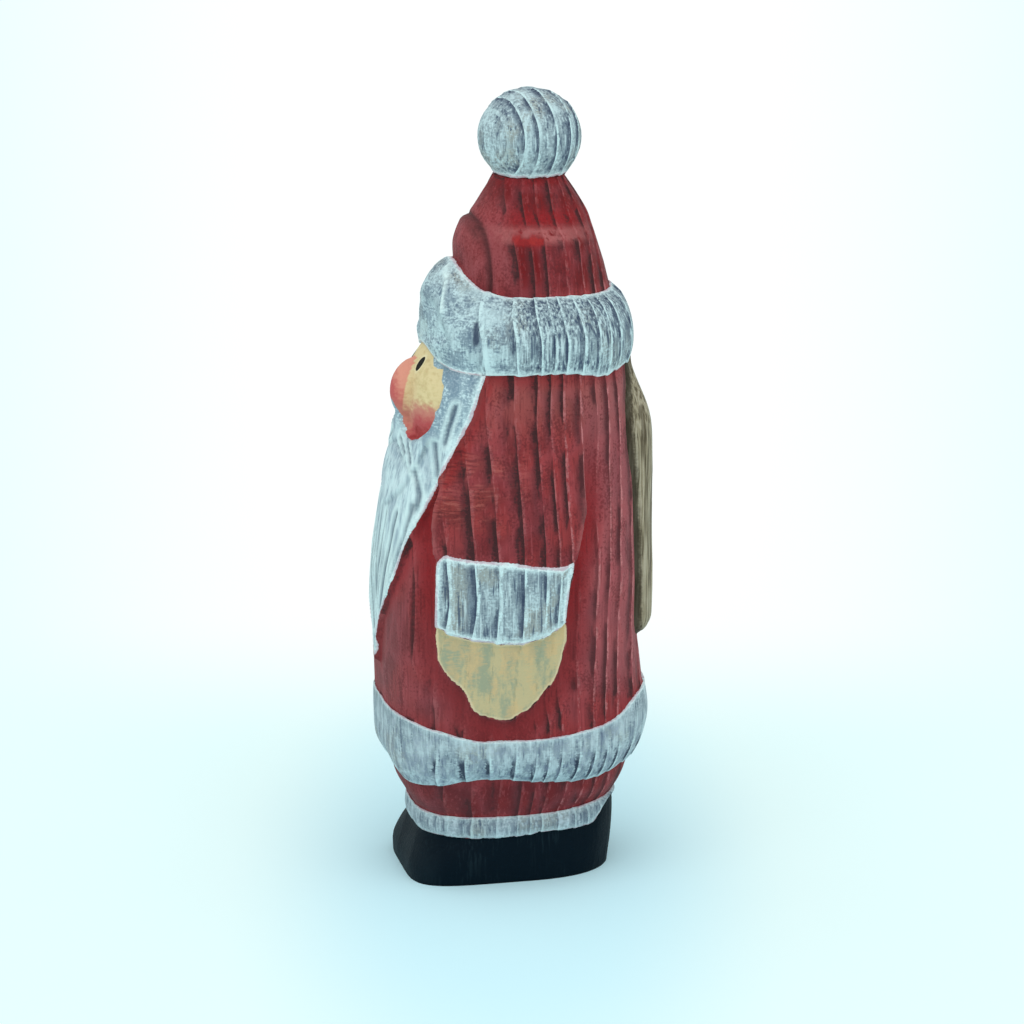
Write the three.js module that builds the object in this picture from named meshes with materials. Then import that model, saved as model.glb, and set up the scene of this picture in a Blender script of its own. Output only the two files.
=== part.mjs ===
// A Father Christmas carved from one upright block of softwood and painted: a small shelf figure.
//
// Millimetres, +Z up. The origin is on the underside, below the middle of the figure. The face
// looks along -Y and the figure's own left side is +X. Both sides are carved alike.
//
// The whole figure is one closed skin around an upright spine. It is stacked from eight runs,
// boots to pompom, and each run is lofted through a few plan outlines. The carver's reliefs
// (arms, beard, face, nose, hat fold, sack) then move that skin in or out.

import * as THREE from "three";

// How tall each run is, from the ground up. Together they make the figure 119 mm tall.
const BOOT_HEIGHT = 7.4;
const ANKLE_CUFF_HEIGHT = 3.2;
const TROUSER_HEIGHT = 6.2;
const HEM_HEIGHT = 10.8;
const COAT_HEIGHT = 51.6;
const BRIM_HEIGHT = 10.8;
const CAP_HEIGHT = 16.4;
const POMPOM_HEIGHT = 12.8;
const POMPOM_HALF_WIDTH = 7.7;
const POMPOM_HALF_HEIGHT = 7.2;
const POMPOM_BEHIND = 3;

// The coat runs from the hem's upper edge to the brim's lower edge. What is carved on it is placed
// from one of these two heights.
const COAT_BOTTOM = BOOT_HEIGHT + ANKLE_CUFF_HEIGHT + TROUSER_HEIGHT + HEM_HEIGHT;
const COAT_TOP = COAT_BOTTOM + COAT_HEIGHT;

// How far an edge between two runs leaves the level, up or down.
const ANKLE_CUFF_RISE_BEHIND = 1.7;
const HEEL_RISE = 4.2;
const HEM_LOWER_EDGE_RISE = 1.4;
const HEM_UPPER_EDGE_DIP = 3.3;
const HEM_UPPER_EDGE_RISE = 1.8;
const BRIM_LOWER_EDGE_LIFT = 2.4;
const BRIM_LOWER_EDGE_SAG = 0.9;
const BRIM_UPPER_EDGE_LIFT = 4.3;

// Arms: sleeve, cuff and mitten lie on each side, in low relief with a hollow cut around them.
// A turn is measured in degrees around the figure from its side: -90 is the face, 90 the back.
const ARM_FRONT_TURN = -43;
const ARM_REAR_TURN = 22;
const ARM_RELIEF = 1.4;
const ARM_EDGE = 0.7;
const ARM_HOLLOW_WIDTH = 3.9;
const ARM_HOLLOW_DEPTH = 1.2;
const ARM_FADES_FROM = COAT_BOTTOM + 28.4;
const ARM_FADES_TO = COAT_BOTTOM + 44.4;
const SLEEVE_CUFF_TOP = COAT_BOTTOM + 24.4;
const SLEEVE_CUFF_BOTTOM = COAT_BOTTOM + 12.4;
const SLEEVE_CUFF_RELIEF = 0.45;
const MITTEN_TIP = COAT_BOTTOM;
const MITTEN_SUNK = 0.35;

// Beard, sideburns, moustache and chin tuft, over the front of the coat.
const BEARD_RELIEF = 0.95;
const BEARD_EDGE = 0.7;
const BEARD_TIP = COAT_BOTTOM + 5.4;
const BEARD_TIP_DRIFT = 4;
const MOUSTACHE_RELIEF = 0.55;
const MOUSTACHE_TIP = COAT_TOP - 15;
const CHIN_TUFT_RELIEF = 0.35;
const CHIN_TUFT_BOTTOM = COAT_TOP - 21.2;

// Face, framed by the brim, the sideburns and the moustache.
const FACE_BOTTOM = COAT_TOP - 10;
const PAST_THE_FACE = -120;
const BEHIND_THE_BRIM = COAT_TOP + 10;
const FACE_EDGE_TURN = -49.5;
const NOSE_CENTRE = COAT_TOP - 4.2;
const NOSE_HALF_WIDTH = 2.7;
const NOSE_HALF_HEIGHT = 4.6;
const NOSE_RELIEF = 2.5;

// Cap: a rounded fold that hangs over the front, and a ledge cut across each side.
const FOLD_BOTTOM = COAT_TOP + BRIM_HEIGHT + 1;
const FOLD_HEIGHT = 9.5;
const FOLD_HALF_WIDTH = 10.4;
const FOLD_RELIEF = 0.7;
const FOLD_EDGE = 0.7;
const CAP_LEDGE_DEPTH = 1;
const CAP_LEDGE_BOTTOM = COAT_TOP + BRIM_HEIGHT + 7.6;
const CAP_LEDGE_TOP = COAT_TOP + BRIM_HEIGHT + 9.9;
const CAP_LEDGE_FADES = 6;

// Sack on the back: a thick boxy slab, rounded below and drawn in to a neck under the brim.
const SACK_HALF_WIDTH = 10.6;
const SACK_BACK = 20.9;
const SACK_BOTTOM = COAT_BOTTOM + 8.8;
const SACK_CORNER = 3.2;
const SACK_SQUARE = 5;
const SACK_ROUNDING = 2.2;
const SACK_NECK_LENGTH = 14;
const SACK_NECK_NARROWS = 1.8;
const SACK_NECK_FLATTENS = 3.5;

// Mesh fineness: rows up each run. Within SNAP_REACH a grid point moves onto a carved edge, by no
// more than SNAP_SHARE of the way to the next point.
const ROWS = { boots: 4, ankleCuff: 3, trousers: 3, hem: 5, coat: 27, brim: 7, cap: 9, pompom: 9 };
const SNAP_REACH = 0.8;
const SNAP_SHARE = 0.4;

const { smoothstep, lerp, clamp } = THREE.MathUtils;

// Plan outlines of each run, bottom first. `at` is the share of the run's height. `front` and
// `back` reach from the origin along -Y and +Y, `half` is half the width. `lean` is how far
// behind the origin the spine stands. Squareness 2 is an ellipse, and higher is boxier.
const RUNS = [
  {
    name: "boots",
    height: BOOT_HEIGHT,
    plans: [
      { at: 0, front: 17.3, back: 14.8, half: 12.2, lean: 0, frontSquare: 5, backSquare: 2.5 },
      { at: 0.3, front: 17.4, back: 15.2, half: 12.4, lean: 0, frontSquare: 5, backSquare: 2.6 },
      { at: 0.65, front: 16.5, back: 15.4, half: 12.4, lean: 0, frontSquare: 4.2, backSquare: 2.7 },
      { at: 1, front: 15.3, back: 15.3, half: 12.2, lean: 0, frontSquare: 3, backSquare: 2.7 },
    ],
  },
  {
    name: "ankleCuff",
    height: ANKLE_CUFF_HEIGHT,
    plans: [
      { at: 0, front: 15.7, back: 15.6, half: 12.7, lean: 0, frontSquare: 2.9, backSquare: 2.8 },
      { at: 0.5, front: 15.9, back: 15.7, half: 12.9, lean: 0, frontSquare: 2.9, backSquare: 2.8 },
      { at: 1, front: 15.8, back: 15.5, half: 12.3, lean: 0, frontSquare: 2.9, backSquare: 2.8 },
    ],
  },
  {
    name: "trousers",
    height: TROUSER_HEIGHT,
    plans: [
      { at: 0, front: 15.6, back: 15.3, half: 12.1, lean: 0, frontSquare: 2.9, backSquare: 2.8 },
      { at: 0.5, front: 17.4, back: 16.9, half: 13.6, lean: 0, frontSquare: 3, backSquare: 2.9 },
      { at: 1, front: 18.0, back: 17.8, half: 14.4, lean: 0, frontSquare: 3, backSquare: 2.9 },
    ],
  },
  {
    name: "hem",
    height: HEM_HEIGHT,
    plans: [
      { at: 0, front: 19.1, back: 18.4, half: 15.4, lean: 0, frontSquare: 3.1, backSquare: 3 },
      { at: 0.22, front: 20.0, back: 19.5, half: 16.7, lean: 0, frontSquare: 3.1, backSquare: 3 },
      { at: 0.6, front: 20.2, back: 20.4, half: 17.5, lean: 0, frontSquare: 3.1, backSquare: 3 },
      { at: 1, front: 20.2, back: 19.9, half: 17.4, lean: 0, frontSquare: 3.2, backSquare: 3 },
    ],
  },
  {
    name: "coat",
    height: COAT_HEIGHT,
    plans: [
      { at: 0, front: 20.0, back: 19.5, half: 17.0, lean: 0, frontSquare: 3.2, backSquare: 3 },
      { at: 0.16, front: 20.0, back: 18.6, half: 16.7, lean: 0, frontSquare: 3.3, backSquare: 3 },
      { at: 0.36, front: 19.6, back: 18.4, half: 16.8, lean: 0, frontSquare: 3.4, backSquare: 3 },
      { at: 0.62, front: 17.6, back: 17.9, half: 16.5, lean: 0.3, frontSquare: 3.2, backSquare: 3 },
      { at: 0.76, front: 15.9, back: 17.4, half: 16.1, lean: 0.8, frontSquare: 2.8, backSquare: 2.9 },
      { at: 0.87, front: 15.8, back: 17.0, half: 15.7, lean: 1.3, frontSquare: 2.4, backSquare: 2.8 },
      { at: 0.94, front: 15.0, back: 16.8, half: 15.4, lean: 1.6, frontSquare: 2.4, backSquare: 2.8 },
      { at: 1, front: 12.9, back: 16.5, half: 15.2, lean: 2, frontSquare: 2.4, backSquare: 2.7 },
    ],
  },
  {
    name: "brim",
    height: BRIM_HEIGHT,
    plans: [
      { at: 0, front: 13.3, back: 17.5, half: 15.9, lean: 2.3, frontSquare: 2.5, backSquare: 2.4 },
      { at: 0.25, front: 13.8, back: 18.1, half: 16.7, lean: 2.4, frontSquare: 2.4, backSquare: 2.4 },
      { at: 0.55, front: 13.5, back: 17.9, half: 16.5, lean: 2.4, frontSquare: 2.3, backSquare: 2.4 },
      { at: 0.85, front: 11.7, back: 16.6, half: 14.7, lean: 2.6, frontSquare: 2.2, backSquare: 2.4 },
      { at: 1, front: 9.4, back: 14.9, half: 12.4, lean: 2.8, frontSquare: 2.2, backSquare: 2.4 },
    ],
  },
  {
    name: "cap",
    height: CAP_HEIGHT,
    plans: [
      { at: 0, front: 7.6, back: 14.6, half: 11.9, lean: 2.8, frontSquare: 2.2, backSquare: 2.4 },
      { at: 0.25, front: 7.5, back: 13.5, half: 11.2, lean: 2.9, frontSquare: 2.2, backSquare: 2.4 },
      { at: 0.55, front: 6.0, back: 12.0, half: 9.9, lean: 2.9, frontSquare: 2.2, backSquare: 2.4 },
      { at: 0.7, front: 4.6, back: 11.1, half: 8.2, lean: 3, frontSquare: 2.2, backSquare: 2.4 },
      { at: 1, front: 2.5, back: 8.0, half: 5.2, lean: 2.9, frontSquare: 2.1, backSquare: 2.2 },
    ],
  },
  { name: "pompom", height: POMPOM_HEIGHT, plans: ballPlans() },
];

/** Plans of the pompom: a slightly flattened ball that tapers straight down to a neck. */
function ballPlans() {
  const lean = POMPOM_BEHIND;
  const round = (height, radius) => ({
    at: height / POMPOM_HEIGHT,
    front: radius - lean,
    back: radius + lean,
    half: radius,
    lean,
    frontSquare: 2,
    backSquare: 2,
  });
  const plans = [round(0, POMPOM_HALF_WIDTH * 0.67)];
  for (const latitude of [-25, -10, 8, 26, 43, 59, 74, 86]) {
    const tilt = THREE.MathUtils.degToRad(latitude);
    const height = POMPOM_HEIGHT - POMPOM_HALF_HEIGHT * (1 - Math.sin(tilt));
    plans.push(round(height, POMPOM_HALF_WIDTH * Math.cos(tilt)));
  }
  return plans;
}

const PLAN_KEYS = ["front", "back", "half", "lean", "frontSquare", "backSquare"];

/** Each value of `keys` at `at`, on a smooth curve through stops that each have their own `at`. */
function along(stops, keys, at) {
  const last = stops.length - 1;
  let lower = 0;
  while (lower < last - 1 && stops[lower + 1].at < at) {
    lower += 1;
  }
  const from = stops[lower];
  const to = stops[lower + 1];
  const before = stops[Math.max(lower - 1, 0)];
  const after = stops[Math.min(lower + 2, last)];
  const span = to.at - from.at;
  const t = clamp((at - from.at) / span, 0, 1);
  const t2 = t * t;
  const t3 = t2 * t;
  const result = {};
  for (const key of keys) {
    const leave = ((to[key] - before[key]) / (to.at - before.at)) * span;
    const arrive = ((after[key] - from[key]) / (after.at - from.at)) * span;
    result[key] =
      (2 * t3 - 3 * t2 + 1) * from[key] +
      (t3 - 2 * t2 + t) * leave +
      (3 * t2 - 2 * t3) * to[key] +
      (t3 - t2) * arrive;
  }
  return result;
}

/** The plan outline at `share` of a run's height. */
const planAt = (run, share) => along(run.plans, PLAN_KEYS, share);

/** Distance from the spine to a plan outline, in the direction `angle` (0 is +X, 90 degrees is +Y). */
function planRadius(plan, angle) {
  const forward = Math.sin(angle) < 0;
  const depth = forward ? plan.front + plan.lean : plan.back - plan.lean;
  const square = forward ? plan.frontSquare : plan.backSquare;
  const across = Math.abs(Math.cos(angle)) / plan.half;
  const along = Math.abs(Math.sin(angle)) / depth;
  return (across ** square + along ** square) ** (-1 / square);
}

/** Degrees from the side towards the back of a direction, the same for both sides. */
const sideTurn = (angle) =>
  THREE.MathUtils.radToDeg(Math.atan2(Math.sin(angle), Math.abs(Math.cos(angle))));

/** How much a direction faces the face (1 at -Y, 0 at the sides and the back). */
const faceward = (angle) => Math.max(0, -Math.sin(angle));

/** The rise of each edge that leaves the level, from the face (-90) over the side to the back. */
const HEEL_STOPS = [
  { at: -90, rise: 0 },
  { at: -9, rise: 0 },
  { at: 8, rise: HEEL_RISE * 0.1 },
  { at: 43, rise: HEEL_RISE * 0.2 },
  { at: 51, rise: HEEL_RISE * 0.7 },
  { at: 60, rise: HEEL_RISE * 0.95 },
  { at: 90, rise: HEEL_RISE },
];
const HEM_LOWER_STOPS = [
  { at: -90, rise: HEM_LOWER_EDGE_RISE * 0.8 },
  { at: -74, rise: HEM_LOWER_EDGE_RISE * 0.3 },
  { at: -64, rise: -HEM_LOWER_EDGE_RISE * 0.3 },
  { at: -52, rise: -HEM_LOWER_EDGE_RISE * 0.3 },
  { at: -30, rise: HEM_LOWER_EDGE_RISE * 0.6 },
  { at: -16, rise: HEM_LOWER_EDGE_RISE * 0.5 },
  { at: 0, rise: 0 },
  { at: 32, rise: -HEM_LOWER_EDGE_RISE * 0.2 },
  { at: 50, rise: HEM_LOWER_EDGE_RISE * 0.8 },
  { at: 90, rise: HEM_LOWER_EDGE_RISE },
];
const HEM_UPPER_STOPS = [
  { at: -90, rise: -HEM_UPPER_EDGE_DIP * 0.1 },
  { at: -61, rise: -HEM_UPPER_EDGE_DIP * 0.2 },
  { at: -42, rise: -HEM_UPPER_EDGE_DIP * 0.6 },
  { at: -26, rise: -HEM_UPPER_EDGE_DIP },
  { at: 11, rise: -HEM_UPPER_EDGE_DIP },
  { at: 38, rise: -HEM_UPPER_EDGE_DIP * 0.5 },
  { at: 53, rise: HEM_UPPER_EDGE_RISE * 0.7 },
  { at: 72, rise: HEM_UPPER_EDGE_RISE },
  { at: 90, rise: HEM_UPPER_EDGE_RISE },
];
const BRIM_SAG_TURN = 31;
const BRIM_SAG_WIDTH = 13;

const rises = (stops) => (angle) => along(stops, ["rise"], sideTurn(angle)).rise;
const heelEdge = rises(HEEL_STOPS);
const ankleEdge = (angle) => ANKLE_CUFF_RISE_BEHIND * Math.max(0, Math.sin(angle)) ** 2;
const hemLowerEdge = rises(HEM_LOWER_STOPS);
const hemUpperEdge = rises(HEM_UPPER_STOPS);
const brimUpperEdge = (angle) => BRIM_UPPER_EDGE_LIFT * faceward(angle) ** 5;

/** The brim's lower edge lifts over the face and sags a little behind the arm. */
function brimLowerEdge(angle) {
  const fromSag = (sideTurn(angle) - BRIM_SAG_TURN) / BRIM_SAG_WIDTH;
  const sag = BRIM_LOWER_EDGE_SAG * Math.exp(-(fromSag ** 2));
  return BRIM_LOWER_EDGE_LIFT * faceward(angle) ** 10 - sag;
}

/** How far the lower and upper edges of a run are moved up or down, in one direction. */
const EDGE_SHIFT = {
  boots: { upper: heelEdge },
  ankleCuff: { lower: heelEdge, upper: ankleEdge },
  trousers: { lower: ankleEdge, upper: hemLowerEdge },
  hem: { lower: hemLowerEdge, upper: hemUpperEdge },
  coat: { lower: hemUpperEdge, upper: brimLowerEdge },
  brim: { lower: brimLowerEdge, upper: brimUpperEdge },
  cap: { lower: brimUpperEdge },
};

/** How far the skin is moved up or down at `up` of a run's height, in one direction. */
function edgeShift(run, angle, up) {
  const edges = EDGE_SHIFT[run.name] ?? {};
  const lower = edges.lower ? edges.lower(angle) : 0;
  const upper = edges.upper ? edges.upper(angle) : 0;
  return lerp(lower, upper, up);
}

/** Distance to a closed outline of [u, v] points, positive inside it. */
function insideOutline(u, v, outline) {
  let nearest = Infinity;
  let inside = false;
  for (let i = 0; i < outline.length; i += 1) {
    const [u0, v0] = outline[i];
    const [u1, v1] = outline[(i + 1) % outline.length];
    const du = u1 - u0;
    const dv = v1 - v0;
    const t = clamp(((u - u0) * du + (v - v0) * dv) / (du * du + dv * dv), 0, 1);
    nearest = Math.min(nearest, Math.hypot(u - u0 - t * du, v - v0 - t * dv));
    if (v0 > v !== v1 > v && u < u0 + ((v - v0) / dv) * du) {
      inside = !inside;
    }
  }
  return inside ? nearest : -nearest;
}

/** Millimetres around the skin for one degree of turn, and an outline in those millimetres. */
const USUAL_RADIUS = 17.5;
const AROUND = THREE.MathUtils.degToRad(USUAL_RADIUS);
const unrolled = (outline) => outline.map(([turn, z]) => [turn * AROUND, z]);

/** The arm as [turn, height]: a straight sleeve, then a mitten with its thumb at the front. */
const ARM_OUTLINE = unrolled([
  [ARM_FRONT_TURN - 0.5, ARM_FADES_TO + 6],
  [ARM_FRONT_TURN - 1.5, SLEEVE_CUFF_TOP + 10],
  [ARM_FRONT_TURN - 2.7, SLEEVE_CUFF_TOP + 6],
  [ARM_FRONT_TURN + 0.3, SLEEVE_CUFF_TOP],
  [ARM_FRONT_TURN, MITTEN_TIP + 10.5],
  [ARM_FRONT_TURN + 1.7, MITTEN_TIP + 8.4],
  [ARM_FRONT_TURN + 5.8, MITTEN_TIP + 6.4],
  [ARM_FRONT_TURN + 10.9, MITTEN_TIP + 4.6],
  [ARM_FRONT_TURN + 14.1, MITTEN_TIP + 1.8],
  [ARM_FRONT_TURN + 20, MITTEN_TIP + 0.6],
  [ARM_FRONT_TURN + 29, MITTEN_TIP],
  [ARM_REAR_TURN - 33, MITTEN_TIP + 0.2],
  [ARM_REAR_TURN - 25, MITTEN_TIP + 1.5],
  [ARM_REAR_TURN - 14.3, MITTEN_TIP + 5.3],
  [ARM_REAR_TURN - 9.6, MITTEN_TIP + 8.8],
  [ARM_REAR_TURN - 7.6, MITTEN_TIP + 12.5],
  [ARM_REAR_TURN - 8.4, SLEEVE_CUFF_BOTTOM + 3],
  [ARM_REAR_TURN - 4.5, SLEEVE_CUFF_TOP - 0.6],
  [ARM_REAR_TURN - 0.7, SLEEVE_CUFF_TOP + 3.1],
  [ARM_REAR_TURN + 1.3, SLEEVE_CUFF_TOP + 6.5],
  [ARM_REAR_TURN + 3, ARM_FADES_TO + 6],
]);

const acrossArm = (turn, z) => insideOutline(turn * AROUND, z, ARM_OUTLINE);

/** Arms: raised inside their outline, with the hollow cut outside it and a proud cuff. */
function armRelief(turn, z) {
  const fade = 1 - smoothstep(z, ARM_FADES_FROM, ARM_FADES_TO);
  if (fade === 0) {
    return 0;
  }
  const inside = acrossArm(turn, z);
  const raised = smoothstep(inside, -ARM_EDGE, 0);
  const beyond = (-inside - ARM_EDGE / 2) / ARM_HOLLOW_WIDTH;
  const hollow = Math.sin(Math.PI * clamp(beyond, 0, 1) ** 0.7);
  const cuffTop = 1 - smoothstep(z, SLEEVE_CUFF_TOP - 0.5, SLEEVE_CUFF_TOP + 0.7);
  const cuff = smoothstep(z, SLEEVE_CUFF_BOTTOM - 0.5, SLEEVE_CUFF_BOTTOM + 0.5) * cuffTop;
  const mitten = 1 - smoothstep(z, SLEEVE_CUFF_BOTTOM - 0.6, SLEEVE_CUFF_BOTTOM + 0.4);
  const height = ARM_RELIEF + SLEEVE_CUFF_RELIEF * cuff - MITTEN_SUNK * mitten;
  return fade * (raised * height - ARM_HOLLOW_DEPTH * hollow);
}

/** The beard's edge, as degrees out from the middle of the face at each height. */
const BEARD_EDGE_STOPS = [
  { at: BEARD_TIP, out: 0 },
  { at: BEARD_TIP + 6, out: 7 },
  { at: BEARD_TIP + 10.3, out: 17 },
  { at: BEARD_TIP + 15.1, out: 25.3 },
  { at: BEARD_TIP + 21.3, out: 31.5 },
  { at: BEARD_TIP + 26, out: 37 },
  { at: MOUSTACHE_TIP, out: 45 },
  { at: MOUSTACHE_TIP + 6, out: 53.6 },
  { at: MOUSTACHE_TIP + 9, out: 58 },
  { at: MOUSTACHE_TIP + 15, out: 64.5 },
];

/** Distance inside the beard's edge. Its tip lies a little to the figure's right. */
function acrossBeard(turn, z, x) {
  const drift = BEARD_TIP_DRIFT * (1 - smoothstep(z, BEARD_TIP, MOUSTACHE_TIP));
  const { out } = along(BEARD_EDGE_STOPS, ["out"], z);
  const fromEdge = (out - (90 + turn) - Math.sign(x) * drift) * AROUND;
  return Math.min(fromEdge, z - BEARD_TIP);
}

/** The bare face as [turn, height]: cheek beside the sideburn, then the moustache's upper edge. */
const FACE_OUTLINE = unrolled([
  [PAST_THE_FACE, BEHIND_THE_BRIM],
  [FACE_EDGE_TURN, BEHIND_THE_BRIM],
  [FACE_EDGE_TURN, FACE_BOTTOM + 7.8],
  [FACE_EDGE_TURN - 1.2, FACE_BOTTOM + 4.6],
  [FACE_EDGE_TURN - 5.5, FACE_BOTTOM + 1.8],
  [FACE_EDGE_TURN - 12, FACE_BOTTOM - 0.2],
  [FACE_EDGE_TURN - 19, FACE_BOTTOM - 0.8],
  [FACE_EDGE_TURN - 28, FACE_BOTTOM - 0.8],
  [-90, FACE_BOTTOM + 0.3],
  [PAST_THE_FACE, FACE_BOTTOM + 0.3],
]);

/** One wing of the moustache as [turn, height]: it droops from below the nose to its tip. */
const MOUSTACHE_OUTLINE = unrolled([
  [PAST_THE_FACE, FACE_BOTTOM + 4],
  [FACE_EDGE_TURN - 2, FACE_BOTTOM + 0.6],
  [FACE_EDGE_TURN - 7, MOUSTACHE_TIP + 3.2],
  [FACE_EDGE_TURN - 12, MOUSTACHE_TIP + 0.2],
  [FACE_EDGE_TURN - 30, MOUSTACHE_TIP + 1.9],
  [-90, MOUSTACHE_TIP + 3],
  [PAST_THE_FACE, MOUSTACHE_TIP + 3],
]);

/** Chin tuft as [turn, height]: the lobe of beard between the moustache tips. */
const CHIN_TUFT_OUTLINE = unrolled([
  [PAST_THE_FACE, MOUSTACHE_TIP + 5],
  [FACE_EDGE_TURN - 12, MOUSTACHE_TIP],
  [FACE_EDGE_TURN - 19, MOUSTACHE_TIP - 3.2],
  [FACE_EDGE_TURN - 27, CHIN_TUFT_BOTTOM + 1.4],
  [-90, CHIN_TUFT_BOTTOM - 0.4],
  [PAST_THE_FACE, CHIN_TUFT_BOTTOM],
]);

const acrossFace = (turn, z) => insideOutline(turn * AROUND, z, FACE_OUTLINE);
const acrossMoustache = (turn, z) => insideOutline(turn * AROUND, z, MOUSTACHE_OUTLINE);
const acrossChinTuft = (turn, z) => insideOutline(turn * AROUND, z, CHIN_TUFT_OUTLINE);

/** Beard with its sideburns, cut back to the bare face, then the moustache and the chin tuft. */
function beardRelief(turn, z, x) {
  const bareFace = smoothstep(acrossFace(turn, z), -0.4, 0.4);
  const beard = smoothstep(acrossBeard(turn, z, x), -BEARD_EDGE, 0);
  const moustache = smoothstep(acrossMoustache(turn, z), -0.5, 0.5);
  const chinTuft = smoothstep(acrossChinTuft(turn, z), -0.5, 0.5) * (1 - moustache);
  const locks = MOUSTACHE_RELIEF * moustache + CHIN_TUFT_RELIEF * chinTuft;
  return (1 - bareFace) * (BEARD_RELIEF * beard + locks);
}

/** Share of the way from the nose's outline to its middle, 0 outside it. */
const withinNose = (x, z) =>
  Math.max(0, 1 - Math.hypot(x / NOSE_HALF_WIDTH, (z - NOSE_CENTRE) / NOSE_HALF_HEIGHT));

/** Nose: a round bulb on the middle of the face. */
function noseRelief(turn, z, x) {
  const inwards = withinNose(x, z);
  return turn < 0 ? NOSE_RELIEF * Math.sqrt(1 - (1 - inwards) ** 2) : 0;
}

/** Distance inside the rounded edge of the cap's front fold, which is measured on the skin. */
function acrossFold(angle, radius, z) {
  const out = Math.abs(Math.atan2(Math.cos(angle), -Math.sin(angle))) * radius;
  const reach = Math.hypot(out / FOLD_HALF_WIDTH, Math.max(0, z - FOLD_BOTTOM) / FOLD_HEIGHT);
  return (1 - reach) * FOLD_HEIGHT;
}

/** Cap: the front fold, and the ledge across each side. Above the ledge the skin is set back. */
function capRelief(angle, radius, z) {
  const fold = smoothstep(acrossFold(angle, radius, z), -FOLD_EDGE / 2, FOLD_EDGE / 2);
  const aboveLedge =
    smoothstep(z, CAP_LEDGE_BOTTOM, CAP_LEDGE_TOP) *
    (1 - smoothstep(z, CAP_LEDGE_TOP, CAP_LEDGE_TOP + CAP_LEDGE_FADES));
  const side = Math.abs(Math.cos(angle)) ** 3;
  return FOLD_RELIEF * fold - CAP_LEDGE_DEPTH * aboveLedge * side;
}

/** Distance from the spine to the sack's skin, or 0 where there is no sack. */
function sackRadius(angle, z, lean) {
  if (Math.sin(angle) <= 0 || z < SACK_BOTTOM) {
    return 0;
  }
  const fromBottom = clamp((z - SACK_BOTTOM) / SACK_CORNER, 0, 1);
  const bottomRound = Math.sqrt(1 - (1 - fromBottom) ** 2);
  const roundedOff = SACK_ROUNDING * (1 - bottomRound);
  const neck = smoothstep(z, COAT_TOP - SACK_NECK_LENGTH, COAT_TOP);
  const half = SACK_HALF_WIDTH - roundedOff - SACK_NECK_NARROWS * neck;
  const back = SACK_BACK - roundedOff - SACK_NECK_FLATTENS * neck ** 2 - lean;
  const across = Math.abs(Math.cos(angle)) / half;
  const along = Math.sin(angle) / back;
  return (across ** SACK_SQUARE + along ** SACK_SQUARE) ** (-1 / SACK_SQUARE);
}

/** Carved edges: a distance across each edge, and the distances where the skin turns. */
const CARVED_EDGES = {
  coat: [
    {
      across: ({ turn, z }) => acrossArm(turn, z),
      turns: [-ARM_EDGE / 2 - ARM_HOLLOW_WIDTH, -ARM_HOLLOW_WIDTH * 0.4 - ARM_EDGE / 2, 0],
      covers: ({ z }) => z < ARM_FADES_TO - 4,
    },
    {
      across: ({ turn, z, x }) => acrossBeard(turn, z, x),
      turns: [-BEARD_EDGE, 0],
      covers: ({ turn }) => turn < 0,
    },
    {
      across: ({ turn, z }) => acrossFace(turn, z),
      turns: [0.4],
      covers: ({ turn, z }) => turn < FACE_EDGE_TURN + 12 && z > FACE_BOTTOM - 3,
    },
    {
      across: ({ turn, z }) => acrossMoustache(turn, z),
      turns: [-0.5, 0.5],
      covers: ({ turn, z }) => turn < FACE_EDGE_TURN + 12 && z < FACE_BOTTOM,
    },
    {
      across: ({ turn, z }) => acrossChinTuft(turn, z),
      turns: [-0.5],
      covers: ({ turn, z }) => turn < 0 && z < MOUSTACHE_TIP,
    },
    {
      across: ({ x, z }) => withinNose(x, z) * NOSE_HALF_WIDTH,
      turns: [0.05],
      covers: ({ turn, x }) => turn < 0 && Math.abs(x) < NOSE_HALF_WIDTH * 1.3,
    },
  ],
  cap: [
    {
      across: ({ angle, radius, z }) => acrossFold(angle, radius, z),
      turns: [-FOLD_EDGE / 2, FOLD_EDGE / 2],
      covers: ({ y }) => y < 0,
    },
  ],
};

/** The place on the plain skin, before any relief, at `up` of a run's height. */
function plainPlace(run, base, up, angle) {
  const plan = planAt(run, up);
  const radius = planRadius(plan, angle);
  const x = radius * Math.cos(angle);
  const y = plan.lean + radius * Math.sin(angle);
  const z = base + run.height * up + edgeShift(run, angle, up);
  const turn = THREE.MathUtils.radToDeg(Math.atan2(y, Math.abs(x)));
  return { angle, up, x, y, z, turn, radius, lean: plan.lean };
}

/**
 * Moves a grid point along the skin, so that it lies on the nearest carved edge of its run. It
 * stays nearer to its own row and column than to the next, so the skin never folds.
 */
function snapToCarvedEdge(run, base, place, rowGap, columnGap) {
  let nearest = { miss: SNAP_REACH };
  for (const edge of CARVED_EDGES[run.name].filter((candidate) => candidate.covers(place))) {
    const distance = edge.across(place);
    for (const turn of edge.turns) {
      if (Math.abs(turn - distance) < Math.abs(nearest.miss)) {
        nearest = { miss: turn - distance, distance, edge };
      }
    }
  }
  if (!nearest.edge) {
    return place;
  }
  const probe = 0.05;
  const above = plainPlace(run, base, place.up + probe / run.height, place.angle);
  const beside = plainPlace(run, base, place.up, place.angle + probe / place.radius);
  const climb = nearest.edge.across(above) - nearest.distance;
  const round = nearest.edge.across(beside) - nearest.distance;
  const steep = Math.max(climb * climb + round * round, 0.2 * probe * probe);
  const move = (nearest.miss * probe) / steep;
  const upLimit = (SNAP_SHARE * rowGap) / run.height;
  const roundLimit = SNAP_SHARE * columnGap;
  const up = place.up + clamp((move * climb) / run.height, -upLimit, upLimit);
  const angle = place.angle + clamp((move * round) / place.radius, -roundLimit, roundLimit);
  return plainPlace(run, base, up, angle);
}

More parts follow.
